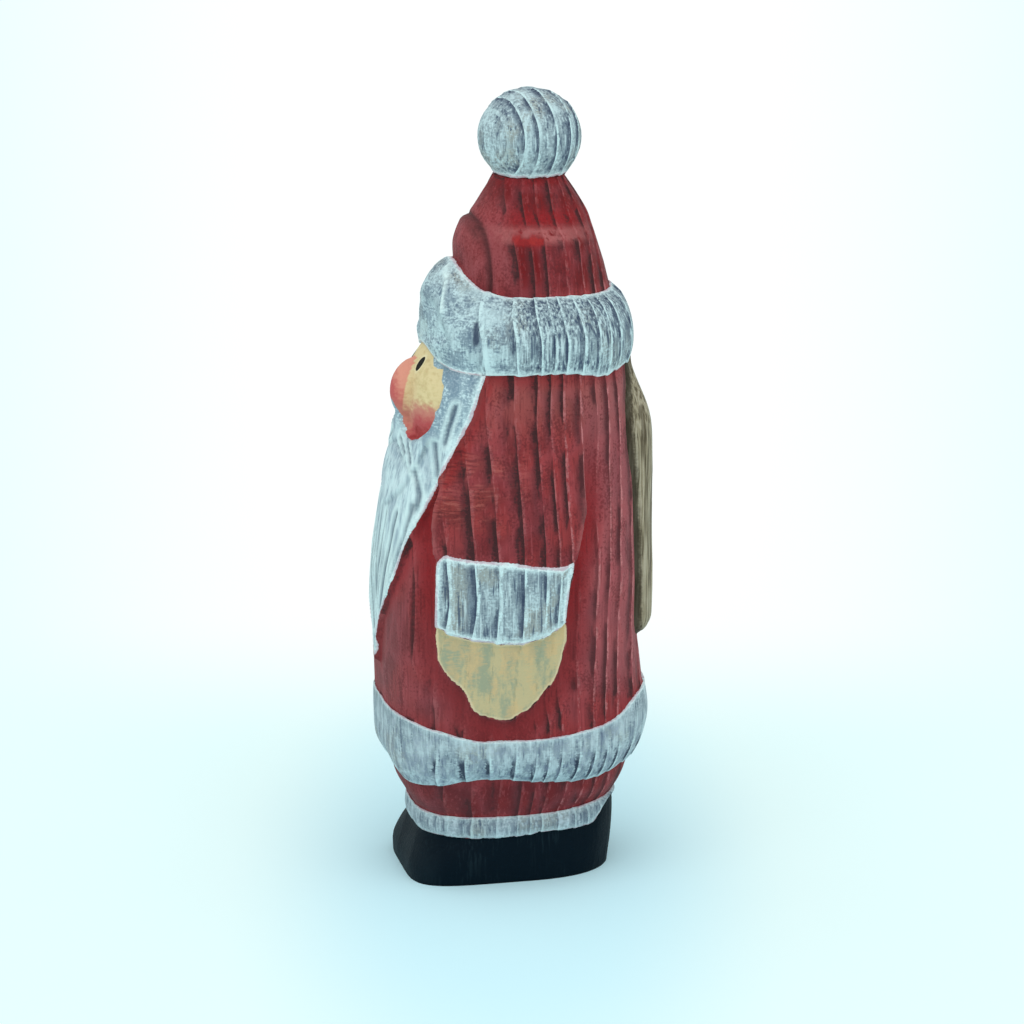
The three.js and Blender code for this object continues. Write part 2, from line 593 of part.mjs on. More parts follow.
/** Angles of the upright columns from the face round to the back, closer beside each carved edge. */
function columnAngles() {
  const sackEdge = THREE.MathUtils.radToDeg(Math.atan2(SACK_BACK - 2, SACK_HALF_WIDTH));
  const stops = [
    [-90, 12],
    [ARM_FRONT_TURN - 7, 5],
    [ARM_FRONT_TURN + 5, 11],
    [ARM_REAR_TURN - 12, 7],
    [ARM_REAR_TURN + 11, 5],
    [sackEdge - 4, 4],
    [sackEdge + 3, 4],
    [90, 0],
  ];
  const half = [];
  for (let i = 0; i + 1 < stops.length; i += 1) {
    const [from, count] = stops[i];
    for (let step = 0; step < count; step += 1) {
      half.push(THREE.MathUtils.degToRad(lerp(from, stops[i + 1][0], step / count)));
    }
  }
  half.push(Math.PI / 2);
  const mirrored = half.slice(1, -1).reverse().map((angle) => Math.PI - angle);
  return [...half, ...mirrored];
}

/** One point of the finished skin: its place moved in or out by what is carved there. */
function skinPoint(run, place) {
  const { angle, x, z, turn, radius, lean } = place;
  let carved = radius;
  if (run.name === "coat") {
    carved += armRelief(turn, z) + beardRelief(turn, z, x) + noseRelief(turn, z, x);
    carved = Math.max(carved, sackRadius(angle, z, lean));
  }
  if (run.name === "cap") {
    carved += capRelief(angle, radius, z);
  }
  return {
    position: [carved * Math.cos(angle), lean + carved * Math.sin(angle), z],
    relief: carved - radius,
  };
}

/** The gap between a column and the nearer of its two neighbours, in radians. */
function gapBeside(columns, column) {
  const count = columns.length;
  const turned = (from, to) => (to - from + 2 * Math.PI) % (2 * Math.PI);
  const before = turned(columns[(column + count - 1) % count], columns[column]);
  return Math.min(before, turned(columns[column], columns[(column + 1) % count]));
}

/** The rings of points of one run, from its lower edge to its upper edge. */
function ringsOf(run, base, angles) {
  const rows = ROWS[run.name];
  const columns = run.name === "coat" ? angles : angles.filter((angle, index) => index % 2 === 0);
  const shareOf = (row) =>
    run.name === "pompom" ? (1 - Math.cos((Math.PI * row) / rows)) / 2 : row / rows;
  const rings = [];
  for (let row = 0; row <= rows; row += 1) {
    const snaps = run.name in CARVED_EDGES && row > 0 && row < rows;
    const ring = [];
    for (const [column, angle] of columns.entries()) {
      let place = plainPlace(run, base, shareOf(row), angle);
      if (snaps) {
        place = snapToCarvedEdge(run, base, place, run.height / rows, gapBeside(columns, column));
      }
      ring.push(skinPoint(run, place));
    }
    rings.push(ring);
  }
  return rings;
}

/** Triangles between two rings of corner numbers, where one may have half as many as the other. */
function stitch(lower, upper, points) {
  const faces = [];
  const count = Math.min(lower.length, upper.length);
  for (let column = 0; column < count; column += 1) {
    const corners = (ring) => {
      const step = ring.length / count;
      const first = column * step;
      const last = (first + step) % ring.length;
      return step === 2 ? [ring[first], ring[first + 1], ring[last]] : [ring[first], ring[last]];
    };
    const below = corners(lower);
    const above = corners(upper);
    if (below.length === 3) {
      faces.push(below[0], below[1], above[0]);
      faces.push(below[1], above[1], above[0]);
      faces.push(below[1], below[2], above[1]);
    } else if (above.length === 3) {
      faces.push(below[0], above[1], above[0]);
      faces.push(below[0], below[1], above[1]);
      faces.push(below[1], above[2], above[1]);
    } else {
      const rise = Math.abs(points[below[0]].relief - points[above[1]].relief);
      const fall = Math.abs(points[below[1]].relief - points[above[0]].relief);
      if (rise <= fall) {
        faces.push(below[0], below[1], above[1], below[0], above[1], above[0]);
      } else {
        faces.push(below[0], below[1], above[0], below[1], above[1], above[0]);
      }
    }
  }
  return faces;
}

/** The closed skin: rings of points from the sole to the pompom, with a flat sole below. */
function carveFigure() {
  const angles = columnAngles();
  const points = [{ position: [0, 0, 0], relief: 0 }];
  const rings = [];
  let base = 0;
  for (const run of RUNS) {
    for (const ring of ringsOf(run, base, angles)) {
      rings.push(ring.map((point) => points.push(point) - 1));
    }
    base += run.height;
  }
  const crown = points.push({ position: [0, POMPOM_BEHIND, base], relief: 0 }) - 1;

  const faces = [];
  const sole = rings[0];
  sole.forEach((corner, index) => faces.push(0, sole[(index + 1) % sole.length], corner));
  for (let ring = 0; ring + 1 < rings.length; ring += 1) {
    faces.push(...stitch(rings[ring], rings[ring + 1], points));
  }
  const top = rings.at(-1);
  top.forEach((corner, index) => faces.push(crown, corner, top[(index + 1) % top.length]));

  const positions = points.flatMap((point) => point.position);
  const geometry = new THREE.BufferGeometry();
  geometry.setAttribute("position", new THREE.Float32BufferAttribute(positions, 3));
  geometry.setIndex(faces);
  geometry.computeVertexNormals();
  return geometry;
}

const paintedSoftwood = new THREE.MeshStandardMaterial({
  name: "painted softwood",
  color: 0x8f2a30,
  roughness: 0.6,
  metalness: 0,
});

const figure = new THREE.Mesh(carveFigure(), paintedSoftwood);
figure.name = "carved_santa";

const part = new THREE.Group();
part.add(figure);

export default part;
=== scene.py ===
import math

import bpy
import numpy as np
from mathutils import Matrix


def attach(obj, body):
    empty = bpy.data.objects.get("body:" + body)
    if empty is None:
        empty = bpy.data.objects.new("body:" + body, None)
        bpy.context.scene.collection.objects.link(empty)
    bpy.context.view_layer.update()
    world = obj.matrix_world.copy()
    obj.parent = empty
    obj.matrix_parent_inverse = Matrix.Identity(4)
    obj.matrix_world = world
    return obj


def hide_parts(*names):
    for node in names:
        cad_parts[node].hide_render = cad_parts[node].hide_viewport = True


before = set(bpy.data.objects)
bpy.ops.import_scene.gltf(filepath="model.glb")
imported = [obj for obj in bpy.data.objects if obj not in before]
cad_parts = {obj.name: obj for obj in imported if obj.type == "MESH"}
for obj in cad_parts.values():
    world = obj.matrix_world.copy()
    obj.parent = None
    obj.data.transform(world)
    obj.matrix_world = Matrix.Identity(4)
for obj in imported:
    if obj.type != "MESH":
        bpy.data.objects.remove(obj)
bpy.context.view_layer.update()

# The carved block
# One upright block of softwood, cut with a knife into boots, coat, beard, face, cap, pompom and
# sack. It is one closed skin around an upright spine, stacked from eight runs in millimetres.

MM = 0.001
COLUMNS = 424

# Each run: its height, its rows of points, and its plan outlines from the bottom up. An outline
# has its share of the run's height, its reach to the front and back of the origin, its half
# width, how far behind the origin the spine stands, and how boxy its front and back halves are.
RUNS = {
    "boots": (7.4, 12, [
        (0, 17.3, 14.8, 12.2, 0, 5, 2.5),
        (0.3, 17.4, 15.2, 12.4, 0, 5, 2.6),
        (0.65, 16.5, 15.4, 12.4, 0, 4.2, 2.7),
        (1, 15.3, 15.3, 12.2, 0, 3, 2.7),
    ]),
    "ankle cuff": (3.2, 7, [
        (0, 15.7, 15.6, 12.7, 0, 2.9, 2.8),
        (0.5, 15.9, 15.7, 12.9, 0, 2.9, 2.8),
        (1, 15.8, 15.5, 12.3, 0, 2.9, 2.8),
    ]),
    "trousers": (6.2, 9, [
        (0, 15.6, 15.3, 12.1, 0, 2.9, 2.8),
        (0.5, 17.4, 16.9, 13.6, 0, 3, 2.9),
        (1, 18.0, 17.8, 14.4, 0, 3, 2.9),
    ]),
    "hem": (10.8, 18, [
        (0, 19.1, 18.4, 15.4, 0, 3.1, 3),
        (0.22, 20.0, 19.5, 16.7, 0, 3.1, 3),
        (0.6, 20.2, 20.4, 17.5, 0, 3.1, 3),
        (1, 20.2, 19.9, 17.4, 0, 3.2, 3),
    ]),
    "coat": (51.6, 104, [
        (0, 20.0, 19.5, 17.0, 0, 3.2, 3),
        (0.16, 20.0, 18.6, 16.7, 0, 3.3, 3),
        (0.36, 19.6, 18.4, 16.8, 0, 3.4, 3),
        (0.62, 17.6, 17.9, 16.5, 0.3, 3.2, 3),
        (0.76, 15.9, 17.4, 16.1, 0.8, 2.8, 2.9),
        (0.87, 15.8, 17.0, 15.7, 1.3, 2.4, 2.8),
        (0.94, 15.0, 16.8, 15.4, 1.6, 2.4, 2.8),
        (1, 12.9, 16.5, 15.2, 2, 2.4, 2.7),
    ]),
    "brim": (10.8, 24, [
        (0, 13.3, 17.5, 15.9, 2.3, 2.5, 2.4),
        (0.25, 13.8, 18.1, 16.7, 2.4, 2.4, 2.4),
        (0.55, 13.5, 17.9, 16.5, 2.4, 2.3, 2.4),
        (0.85, 11.7, 16.6, 14.7, 2.6, 2.2, 2.4),
        (1, 9.4, 14.9, 12.4, 2.8, 2.2, 2.4),
    ]),
    "cap": (16.4, 30, [
        (0, 7.6, 14.6, 11.9, 2.8, 2.2, 2.4),
        (0.25, 7.5, 13.5, 11.2, 2.9, 2.2, 2.4),
        (0.55, 6.0, 12.0, 9.9, 2.9, 2.2, 2.4),
        (0.7, 4.6, 11.1, 8.2, 3, 2.2, 2.4),
        (1, 2.5, 8.0, 5.2, 2.9, 2.1, 2.2),
    ]),
}
POMPOM_HEIGHT = 12.8
POMPOM_ROWS = 22
POMPOM_HALF_WIDTH = 7.7
POMPOM_HALF_HEIGHT = 7.2
POMPOM_BEHIND = 3
ANKLE_CUFF_RISE_BEHIND = 1.7
HEEL_RISE = 4.2
HEM_LOWER_EDGE_RISE = 1.4
HEM_UPPER_EDGE_DIP = 3.3
HEM_UPPER_EDGE_RISE = 1.8
BRIM_LOWER_EDGE_LIFT = 2.4
BRIM_SAG_TURN = 31
BRIM_SAG_WIDTH = 13
BRIM_LOWER_EDGE_SAG = 0.9
BRIM_UPPER_EDGE_LIFT = 4.3


def pompom_plans():
    """Plans of the pompom: a slightly flattened ball on a neck."""
    tilts = np.radians([-25, -10, 8, 26, 43, 59, 74, 86])
    heights = POMPOM_HEIGHT - POMPOM_HALF_HEIGHT * (1 - np.sin(tilts))
    radii = POMPOM_HALF_WIDTH * np.cos(tilts)
    stops = [(0, POMPOM_HALF_WIDTH * 0.67)] + list(zip(heights / POMPOM_HEIGHT, radii))
    return [(at, r - POMPOM_BEHIND, r + POMPOM_BEHIND, r, POMPOM_BEHIND, 2, 2) for at, r in stops]


RUNS["pompom"] = (POMPOM_HEIGHT, POMPOM_ROWS, pompom_plans())


def along(stops, at):
    """Values at `at` on a smooth curve through stops, each a place followed by its values."""
    stops = np.array(stops, float)
    places, values = stops[:, 0], stops[:, 1:]
    last = len(stops) - 1
    lower = np.clip(np.searchsorted(places, at) - 1, 0, last - 1)
    before, after = np.maximum(lower - 1, 0), np.minimum(lower + 2, last)
    span = (places[lower + 1] - places[lower])[..., None]
    t = np.clip((at - places[lower])[..., None] / span, 0, 1)
    leave = (values[lower + 1] - values[before]) / (places[lower + 1] - places[before])[..., None]
    arrive = (values[after] - values[lower]) / (places[after] - places[lower])[..., None]
    bend = (2 * t**3 - 3 * t**2 + 1) * values[lower] + (3 * t**2 - 2 * t**3) * values[lower + 1]
    return bend + (t**3 - 2 * t**2 + t) * leave * span + (t**3 - t**2) * arrive * span


def hump(distance, width):
    """1 on a line, falling off evenly on both sides to nearly 0 two widths away."""
    return np.exp(-((distance / width) ** 2))


def side_turn(angle):
    """Degrees from the side towards the back, the same for both sides."""
    return np.degrees(np.arctan2(np.sin(angle), np.abs(np.cos(angle))))


def faceward(angle):
    """1 where the skin faces the front, and 0 at the sides and the back."""
    return np.maximum(0, -np.sin(angle))


def flat(angle):
    """An edge that stays level."""
    return 0 * angle


def edge_through(share_stops, rise, dip=0):
    """An edge that rises or dips by a share of a length at each of several turns from the side."""
    stops = [(at, share * (rise if share > 0 else dip or rise)) for at, share in share_stops]
    return lambda angle: along(stops, side_turn(angle))[..., 0]


heel_edge = edge_through([
    (-90, 0), (-9, 0), (8, 0.1), (43, 0.2), (51, 0.7), (60, 0.95), (90, 1)], HEEL_RISE)
hem_lower = edge_through([
    (-90, 0.8), (-74, 0.3), (-64, -0.3), (-52, -0.3), (-30, 0.6), (-16, 0.5), (0, 0),
    (32, -0.2), (50, 0.8), (90, 1)], HEM_LOWER_EDGE_RISE)
hem_upper = edge_through([
    (-90, -0.1), (-61, -0.2), (-42, -0.6), (-26, -1), (11, -1), (38, -0.5), (53, 0.7),
    (72, 1), (90, 1)], HEM_UPPER_EDGE_RISE, HEM_UPPER_EDGE_DIP)


def ankle_edge(angle):
    """The cuffs' upper edge rises towards the back."""
    return ANKLE_CUFF_RISE_BEHIND * np.maximum(0, np.sin(angle)) ** 2


def brim_lower(angle):
    """The brim's lower edge lifts over the face and sags a little behind the arm."""
    sag = BRIM_LOWER_EDGE_SAG * hump(side_turn(angle) - BRIM_SAG_TURN, BRIM_SAG_WIDTH)
    return BRIM_LOWER_EDGE_LIFT * faceward(angle) ** 10 - sag


def brim_upper(angle):
    """The brim's upper edge lifts under the cap's fold."""
    return BRIM_UPPER_EDGE_LIFT * faceward(angle) ** 5


EDGE_SHIFT = {
    "boots": (flat, heel_edge),
    "ankle cuff": (heel_edge, ankle_edge),
    "trousers": (ankle_edge, hem_lower),
    "hem": (hem_lower, hem_upper),
    "coat": (hem_upper, brim_lower),
    "brim": (brim_lower, brim_upper),
    "cap": (brim_upper, flat),
    "pompom": (flat, flat),
}

BASES = dict(zip(RUNS, np.cumsum([0] + [height for height, rows, plans in RUNS.values()])))
COAT_BOTTOM = BASES["coat"]
COAT_TOP = BASES["brim"]
TOP = BASES["pompom"] + POMPOM_HEIGHT


def plain_skin():
    """The skin before any relief: a dictionary of grids, one row of points for each level."""
    angle = np.radians(np.arange(COLUMNS) * 360 / COLUMNS - 90)[None, :]
    grids = []
    for name, (height, rows, plans) in RUNS.items():
        share = np.arange(rows + 1) / rows
        if name == "pompom":
            share = (1 - np.cos(math.pi * share)) / 2
        front, back, half, lean, front_square, back_square = along(plans, share).T[:, :, None]
        forward = np.sin(angle) < 0
        depth = np.where(forward, front + lean, back - lean)
        square = np.where(forward, front_square, back_square)
        across = np.abs(np.cos(angle)) / half
        ahead = np.abs(np.sin(angle)) / depth
        radius = (across**square + ahead**square) ** (-1 / square)
        lower, upper = (shift(angle) for shift in EDGE_SHIFT[name])
        up = share[:, None] + 0 * angle
        grids.append({
            "angle": angle + 0 * up,
            "radius": radius,
            "lean": lean + 0 * up,
            "z": BASES[name] + height * up + lower + (upper - lower) * up,
            "run": np.full(up.shape, list(RUNS).index(name)),
        })
    skin = {key: np.concatenate([grid[key] for grid in grids]) for key in grids[0]}
    skin["x"] = skin["radius"] * np.cos(skin["angle"])
    skin["y"] = skin["lean"] + skin["radius"] * np.sin(skin["angle"])
    skin["turn"] = np.degrees(np.arctan2(skin["y"], np.abs(skin["x"])))
    return skin


skin = plain_skin()
angle, radius, lean = skin["angle"], skin["radius"], skin["lean"]
x, y, z, turn = skin["x"], skin["y"], skin["z"], skin["turn"]
on = {name: skin["run"] == number for number, name in enumerate(RUNS)}


# Arms
# A sleeve, a cuff and a mitten lie on each side in low relief, with a smooth hollow cut round them.
ARM_FRONT = -43
ARM_REAR = 22
ARM_RELIEF = 1.4
ARM_EDGE = 0.7
HOLLOW_WIDTH = 3.9
HOLLOW_DEPTH = 1.2
HOLLOW_LEAN = 0.7
ARM_FADES_FROM = COAT_BOTTOM + 28.4
ARM_FADES_TO = COAT_BOTTOM + 44.4
CUFF_TOP = COAT_BOTTOM + 24.4
CUFF_BOTTOM = COAT_BOTTOM + 13
CUFF_RELIEF = 0.45
MITTEN_TIP = COAT_BOTTOM
MITTEN_SUNK = 0.35

# A turn is measured in degrees around the figure from its side: -90 is the face, 90 the back.
# An outline is a list of turns and heights. It is read in millimetres, with every turn taken
# around a figure of the usual radius.
USUAL_RADIUS = 17.5
AROUND = math.radians(USUAL_RADIUS)


def smooth(value, low, high):
    """0 up to low, 1 from high on, and an even slope between them."""
    t = np.clip((value - low) / (high - low), 0, 1)
    return t * t * (3 - 2 * t)


def to_line(points):
    """Distance in millimetres from every point of the skin to a line of turns and heights."""
    nearest = np.full(z.shape, np.inf)
    for (turn0, height0), (turn1, height1) in zip(points, points[1:]):
        across, rise = (turn1 - turn0) * AROUND, height1 - height0
        beside, above = (turn - turn0) * AROUND, z - height0
        share = np.clip((beside * across + above * rise) / (across**2 + rise**2), 0, 1)
        nearest = np.minimum(nearest, np.hypot(beside - share * across, above - share * rise))
    return nearest


def inside(outline):
    """Distance to a closed outline of turns and heights, positive inside it."""
    within = np.zeros(z.shape, bool)
    for (turn0, height0), (turn1, height1) in zip(outline, outline[1:] + outline[:1]):
        if height0 != height1:
            crossing = turn0 + (z - height0) / (height1 - height0) * (turn1 - turn0)
            within ^= ((height0 > z) != (height1 > z)) & (turn < crossing)
    return to_line(outline + outline[:1]) * np.where(within, 1, -1)


def points_from(first, second, steps):
    """Points of two numbers each that are given by their steps from one place."""
    return [(first + step, second + other_step) for step, other_step in steps]


across_arm = inside(
    points_from(ARM_FRONT, ARM_FADES_TO, [(-0.5, 6)])
    + points_from(ARM_FRONT, CUFF_TOP, [(-1.5, 10), (-2.7, 7.6), (-2.7, 4.7), (-1.3, 1), (0.3, 0)])
    + points_from(ARM_FRONT, CUFF_BOTTOM, [(0.3, 1.8), (-0.2, 0)])
    + points_from(ARM_FRONT, MITTEN_TIP, [
        (0.5, 9.4), (1.7, 8.4), (3.5, 7.3), (5.8, 6.4), (8.9, 5.5), (10.9, 4.6), (12.9, 2.9),
        (14.1, 1.8), (17, 0.9), (22.2, 0.5), (28, 0)])
    + points_from(ARM_REAR, MITTEN_TIP, [
        (-34, 0), (-32, 0.6), (-25.1, 1.5), (-21.5, 2.8), (-14.3, 5.3), (-12.4, 6.3), (-9.6, 8.8),
        (-7.6, 11.8)])
    + points_from(ARM_REAR, CUFF_BOTTOM, [(-7.6, 0.8), (-8.8, 2.2)])
    + points_from(ARM_REAR, CUFF_TOP, [
        (-6.8, -4.7), (-5, -0.7), (-3.2, -0.2), (-0.7, 3.1), (1.3, 6.5), (2.6, 16)])
    + points_from(ARM_REAR, ARM_FADES_TO, [(3, 6)]))
arm_fade = 1 - smooth(z, ARM_FADES_FROM, ARM_FADES_TO)
beyond_arm = np.clip((-across_arm - ARM_EDGE / 2) / HOLLOW_WIDTH, 0, 1)
arm_hollow = np.sin(math.pi * beyond_arm**HOLLOW_LEAN) * arm_fade
cuff_top = CUFF_TOP + np.interp(
    turn, [-42.5, -40.8, -39.2, -30.8, -17.3, -2.4, 11.4, 16.8],
    [-0.1, 0.8, 1.1, 0.5, 0, -0.8, -1.4, -0.7])
cuff_bottom = CUFF_BOTTOM + np.interp(
    turn, [-42.3, -37.1, -29.5, -19.4, -8.2, 1.2, 5.9, 11.9, 14],
    [1.5, 0.4, -0.4, -1, -1.3, -0.7, -0.1, 1.1, 1.7])


def arm_relief():
    """Raised inside the arm's outline, with the hollow outside it and a proud cuff."""
    raised = smooth(across_arm, -ARM_EDGE, 0) * arm_fade
    cuff = smooth(z - cuff_bottom, -0.3, 0.3) * (1 - smooth(z - cuff_top, -0.3, 0.4))
    mitten = 1 - smooth(z - cuff_bottom, -0.4, 0.2)
    height = ARM_RELIEF + CUFF_RELIEF * cuff - MITTEN_SUNK * mitten
    return raised * height - HOLLOW_DEPTH * arm_hollow


# Beard, moustache and face
# The beard runs down the front to a point, with sideburns beside the bare face. A drooping
# moustache and a chin tuft lie on it, and the nose is a round bulb.
BEARD_RELIEF = 0.95
BEARD_EDGE = 0.7
BEARD_TIP = COAT_BOTTOM + 5.4
BEARD_TIP_DRIFT = 4
MOUSTACHE_RELIEF = 0.6
MOUSTACHE_TIP = COAT_TOP - 15
CHIN_TUFT_RELIEF = 0.4
CHIN_TUFT_BOTTOM = COAT_TOP - 21.2
LOCK_DEPTH = 0.3
LOCK_WIDTH = 0.35
LIGHT_BESIDE_LOCK = 0.805
FACE_BOTTOM = COAT_TOP - 10
FACE_EDGE = -49.5
NOSE_CENTRE = COAT_TOP - 4.2
NOSE_HALF_WIDTH = 2.7
NOSE_HALF_HEIGHT = 4.6
NOSE_RELIEF = 2.5
PAST_THE_FACE = -120


def across_beard_edge():
    """Distance inside the beard's edge, whose tip lies a little to the figure's right."""
    edge = along(
        points_from(BEARD_TIP, 0, [(0, 0), (6, 7), (10.3, 17), (15.1, 25.3), (21.3, 31.5), (26, 37)])
        + points_from(MOUSTACHE_TIP, 0, [(0, 45), (6, 53.6), (9, 58), (15, 64.5)]), z)[..., 0]
    drift = BEARD_TIP_DRIFT * (1 - smooth(z, BEARD_TIP, MOUSTACHE_TIP))
    from_edge = (edge - (90 + turn) - np.sign(x) * drift) * AROUND
    return np.minimum(from_edge, z - BEARD_TIP)


across_beard = across_beard_edge()

# These outlines cross the middle of the face and close beyond it.
across_face = inside(
    [(PAST_THE_FACE, FACE_BOTTOM + 20)]
    + points_from(FACE_EDGE, FACE_BOTTOM, [
        (0, 20), (0, 7.8), (-0.3, 5.8), (-1.2, 4.6), (-3.5, 3.2), (-5.5, 1.8), (-7.5, 0.8),
        (-12, -0.2), (-19, -0.8), (-25, -0.6), (-28, 0.3), (-33.5, 1), (-37, 2.2), (-40.5, 3.4)])
    + [(PAST_THE_FACE, FACE_BOTTOM + 3.4)])
across_moustache = inside(
    [(PAST_THE_FACE, FACE_BOTTOM + 5)]
    + points_from(FACE_EDGE, FACE_BOTTOM, [(-36.5, 4), (-2, 0.6), (-4.7, -0.4)])
    + points_from(FACE_EDGE, MOUSTACHE_TIP, [(-7, 3.2), (-12, 0.2), (-16, 0.5), (-30, 1.9), (-40.5, 3)])
    + [(PAST_THE_FACE, MOUSTACHE_TIP + 3)])
across_chin_tuft = inside(
    [(PAST_THE_FACE, MOUSTACHE_TIP + 5)]
    + points_from(FACE_EDGE, MOUSTACHE_TIP, [(-12, 0), (-19, -3.2)])
    + points_from(FACE_EDGE, CHIN_TUFT_BOTTOM, [(-27, 1.4), (-34, 0), (-40.5, -0.4)])
    + [(PAST_THE_FACE, CHIN_TUFT_BOTTOM)])

# The knife's cuts that part the beard into locks, each a line of turns and heights.
LOCKS = [
    [(-61, 64.2), (-58, 62.6), (-56.2, 61), (-57, 58.6)],
    [(-50.9, 68.6), (-49.8, 66.5), (-47.7, 64.1)],
    [(-58.5, 59.5), (-61, 55), (-67, 49), (-76, 42)],
    [(-70, 57.5), (-73, 52), (-80, 44), (-86, 38)],
    [(-84, 56.5), (-86, 50), (-92, 41)],
    [(-40.5, 74.5), (-43.5, 71.5), (-45, 69)],
    [(-70, 67.6), (-66, 66.2), (-64, 65.3)],
    [(-82, 68), (-76, 67), (-72, 66.2)],
]
coat_front = on["coat"] & (turn < 0)
from_lock = np.minimum.reduce([to_line(line) for line in LOCKS])
on_locks = coat_front * smooth(across_beard, 0.2, 0.8) * (1 - smooth(across_face, -0.6, -0.1))
lock_lines = hump(from_lock, LOCK_WIDTH) * on_locks
beside_locks = hump(from_lock - LIGHT_BESIDE_LOCK, LOCK_WIDTH) * on_locks


def beard_relief():
    """Beard and sideburns, cut back to the bare face, then the moustache and the chin tuft."""
    bare_face = smooth(across_face, -0.3, 0.3)
    beard = smooth(across_beard, -BEARD_EDGE, 0)
    moustache = smooth(across_moustache, -0.4, 0.4)
    chin_tuft = smooth(across_chin_tuft, -0.4, 0.4) * (1 - moustache)
    locks = MOUSTACHE_RELIEF * moustache + CHIN_TUFT_RELIEF * chin_tuft - LOCK_DEPTH * lock_lines
    return (1 - bare_face) * (BEARD_RELIEF * beard + locks)


def nose_relief():
    """A round bulb in the middle of the face."""
    out = np.hypot(x / NOSE_HALF_WIDTH, (z - NOSE_CENTRE) / NOSE_HALF_HEIGHT)
    return np.where(turn < 0, NOSE_RELIEF * np.sqrt(1 - np.minimum(out, 1) ** 2), 0)


# Cap, brim and sack
# The cap's rounded fold hangs over the front, and a ledge is cut across each side. The brim has
# a scoop over the face. The sack is a boxy slab on the back.
FOLD_BOTTOM = COAT_TOP + 11.8
FOLD_HEIGHT = 9.5
FOLD_HALF_WIDTH = 9.4
FOLD_RELIEF = 0.7
FOLD_CREASE = 0.2
FOLD_SHADE_FROM = BASES["cap"] + 6.5
FOLD_SHADE_TO = BASES["cap"] + 8.8
LEDGE_TOP = BASES["cap"] + 9.9
LEDGE_BOTTOM = BASES["cap"] + 7.6
LEDGE_DEPTH = 1.0
LEDGE_FADES_OVER = 6
SCOOP_DEPTH = 0.5
SCOOP_LINE_FROM = 84
BRIM_LINE_HEIGHT = 0.35
BRIM_LINE_WIDTH = 0.5
SACK_HALF_WIDTH = 10.6
SACK_BACK = 20.9
SACK_BOTTOM = COAT_BOTTOM + 8.8
SACK_CORNER = 3.2
SACK_SQUARE = 5
SACK_ROUNDING = 2.2
SACK_NECK_LENGTH = 14
SACK_NECK_NARROWS = 1.8
SACK_NECK_FLATTENS = 3.5
SACK_GROOVE = 0.5
SACK_GROOVE_WIDTH = 0.7
SACK_STEEPNESS = 1.5
FAR_OUTSIDE = -9

fold_out = np.abs(np.arctan2(np.cos(angle), -np.sin(angle))) * radius / FOLD_HALF_WIDTH
fold_reach = np.hypot(fold_out, np.maximum(0, z - FOLD_BOTTOM) / FOLD_HEIGHT)
across_fold = (1 - fold_reach) * FOLD_HEIGHT


def cap_relief():
    """The front fold with a crease behind it, and the ledge across each side."""
    fold = smooth(across_fold, -0.3, 0.4)
    crease = hump(across_fold + 0.3, 0.35) * smooth(-y, -2, 2)
    side = np.abs(np.cos(angle)) ** 3
    above = smooth(z, LEDGE_BOTTOM, LEDGE_TOP) * (1 - smooth(z, LEDGE_TOP, LEDGE_TOP + LEDGE_FADES_OVER))
    return FOLD_RELIEF * fold - FOLD_CREASE * crease - LEDGE_DEPTH * above * side


def sack_radius():
    """Distance from the spine to the sack's skin, or 0 where there is no sack."""
    from_bottom = np.clip((z - SACK_BOTTOM) / SACK_CORNER, 0, 1)
    rounded_off = SACK_ROUNDING * (1 - np.sqrt(1 - (1 - from_bottom) ** 2))
    neck = smooth(z, COAT_TOP - SACK_NECK_LENGTH, COAT_TOP)
    half = SACK_HALF_WIDTH - rounded_off - SACK_NECK_NARROWS * neck
    back = SACK_BACK - rounded_off - SACK_NECK_FLATTENS * neck**2 - lean
    across = np.abs(np.cos(angle)) / half
    behind = np.maximum(np.sin(angle), 1e-6) / back
    reach = (across**SACK_SQUARE + behind**SACK_SQUARE) ** (-1 / SACK_SQUARE)
    return np.where((np.sin(angle) > 0) & (z >= SACK_BOTTOM), reach, 0)


across_scoop = inside([
    (-125, 88.6), (-96, 89), (-83.5, 89), (-69.7, 88.9), (-60.1, 87.5), (-56.8, 86.3), (-51.5, 85),
    (-50, 83.6), (-60, 83.2), (-76.7, 82.2), (-125, 82.2)])
brim_line = to_line([(-78, 93.4), (-70, 92.6), (-65.7, 91.8), (-61.9, 90.3), (-57.5, 87.8)])


def brim_relief():
    """The scoop over the face, and the sharp line where two knife cuts meet above it."""
    line = BRIM_LINE_HEIGHT * hump(brim_line, BRIM_LINE_WIDTH)
    return (line - SCOOP_DEPTH * smooth(across_scoop, -0.4, 1)) * (turn < 0)


carved = radius.copy()
carved += np.where(on["brim"], brim_relief(), 0)
carved += np.where(on["coat"], arm_relief() + np.maximum(beard_relief(), nose_relief()), 0)
carved += np.where(on["cap"], cap_relief(), 0)
sack = np.where(on["coat"], sack_radius(), 0)
across_sack = np.where(sack > 0, (sack - carved) * SACK_STEEPNESS, FAR_OUTSIDE)
carved = np.maximum(carved, sack)
carved -= SACK_GROOVE * hump(across_sack, SACK_GROOVE_WIDTH)
skin_points = np.stack([carved * np.cos(angle), lean + carved * np.sin(angle), z])


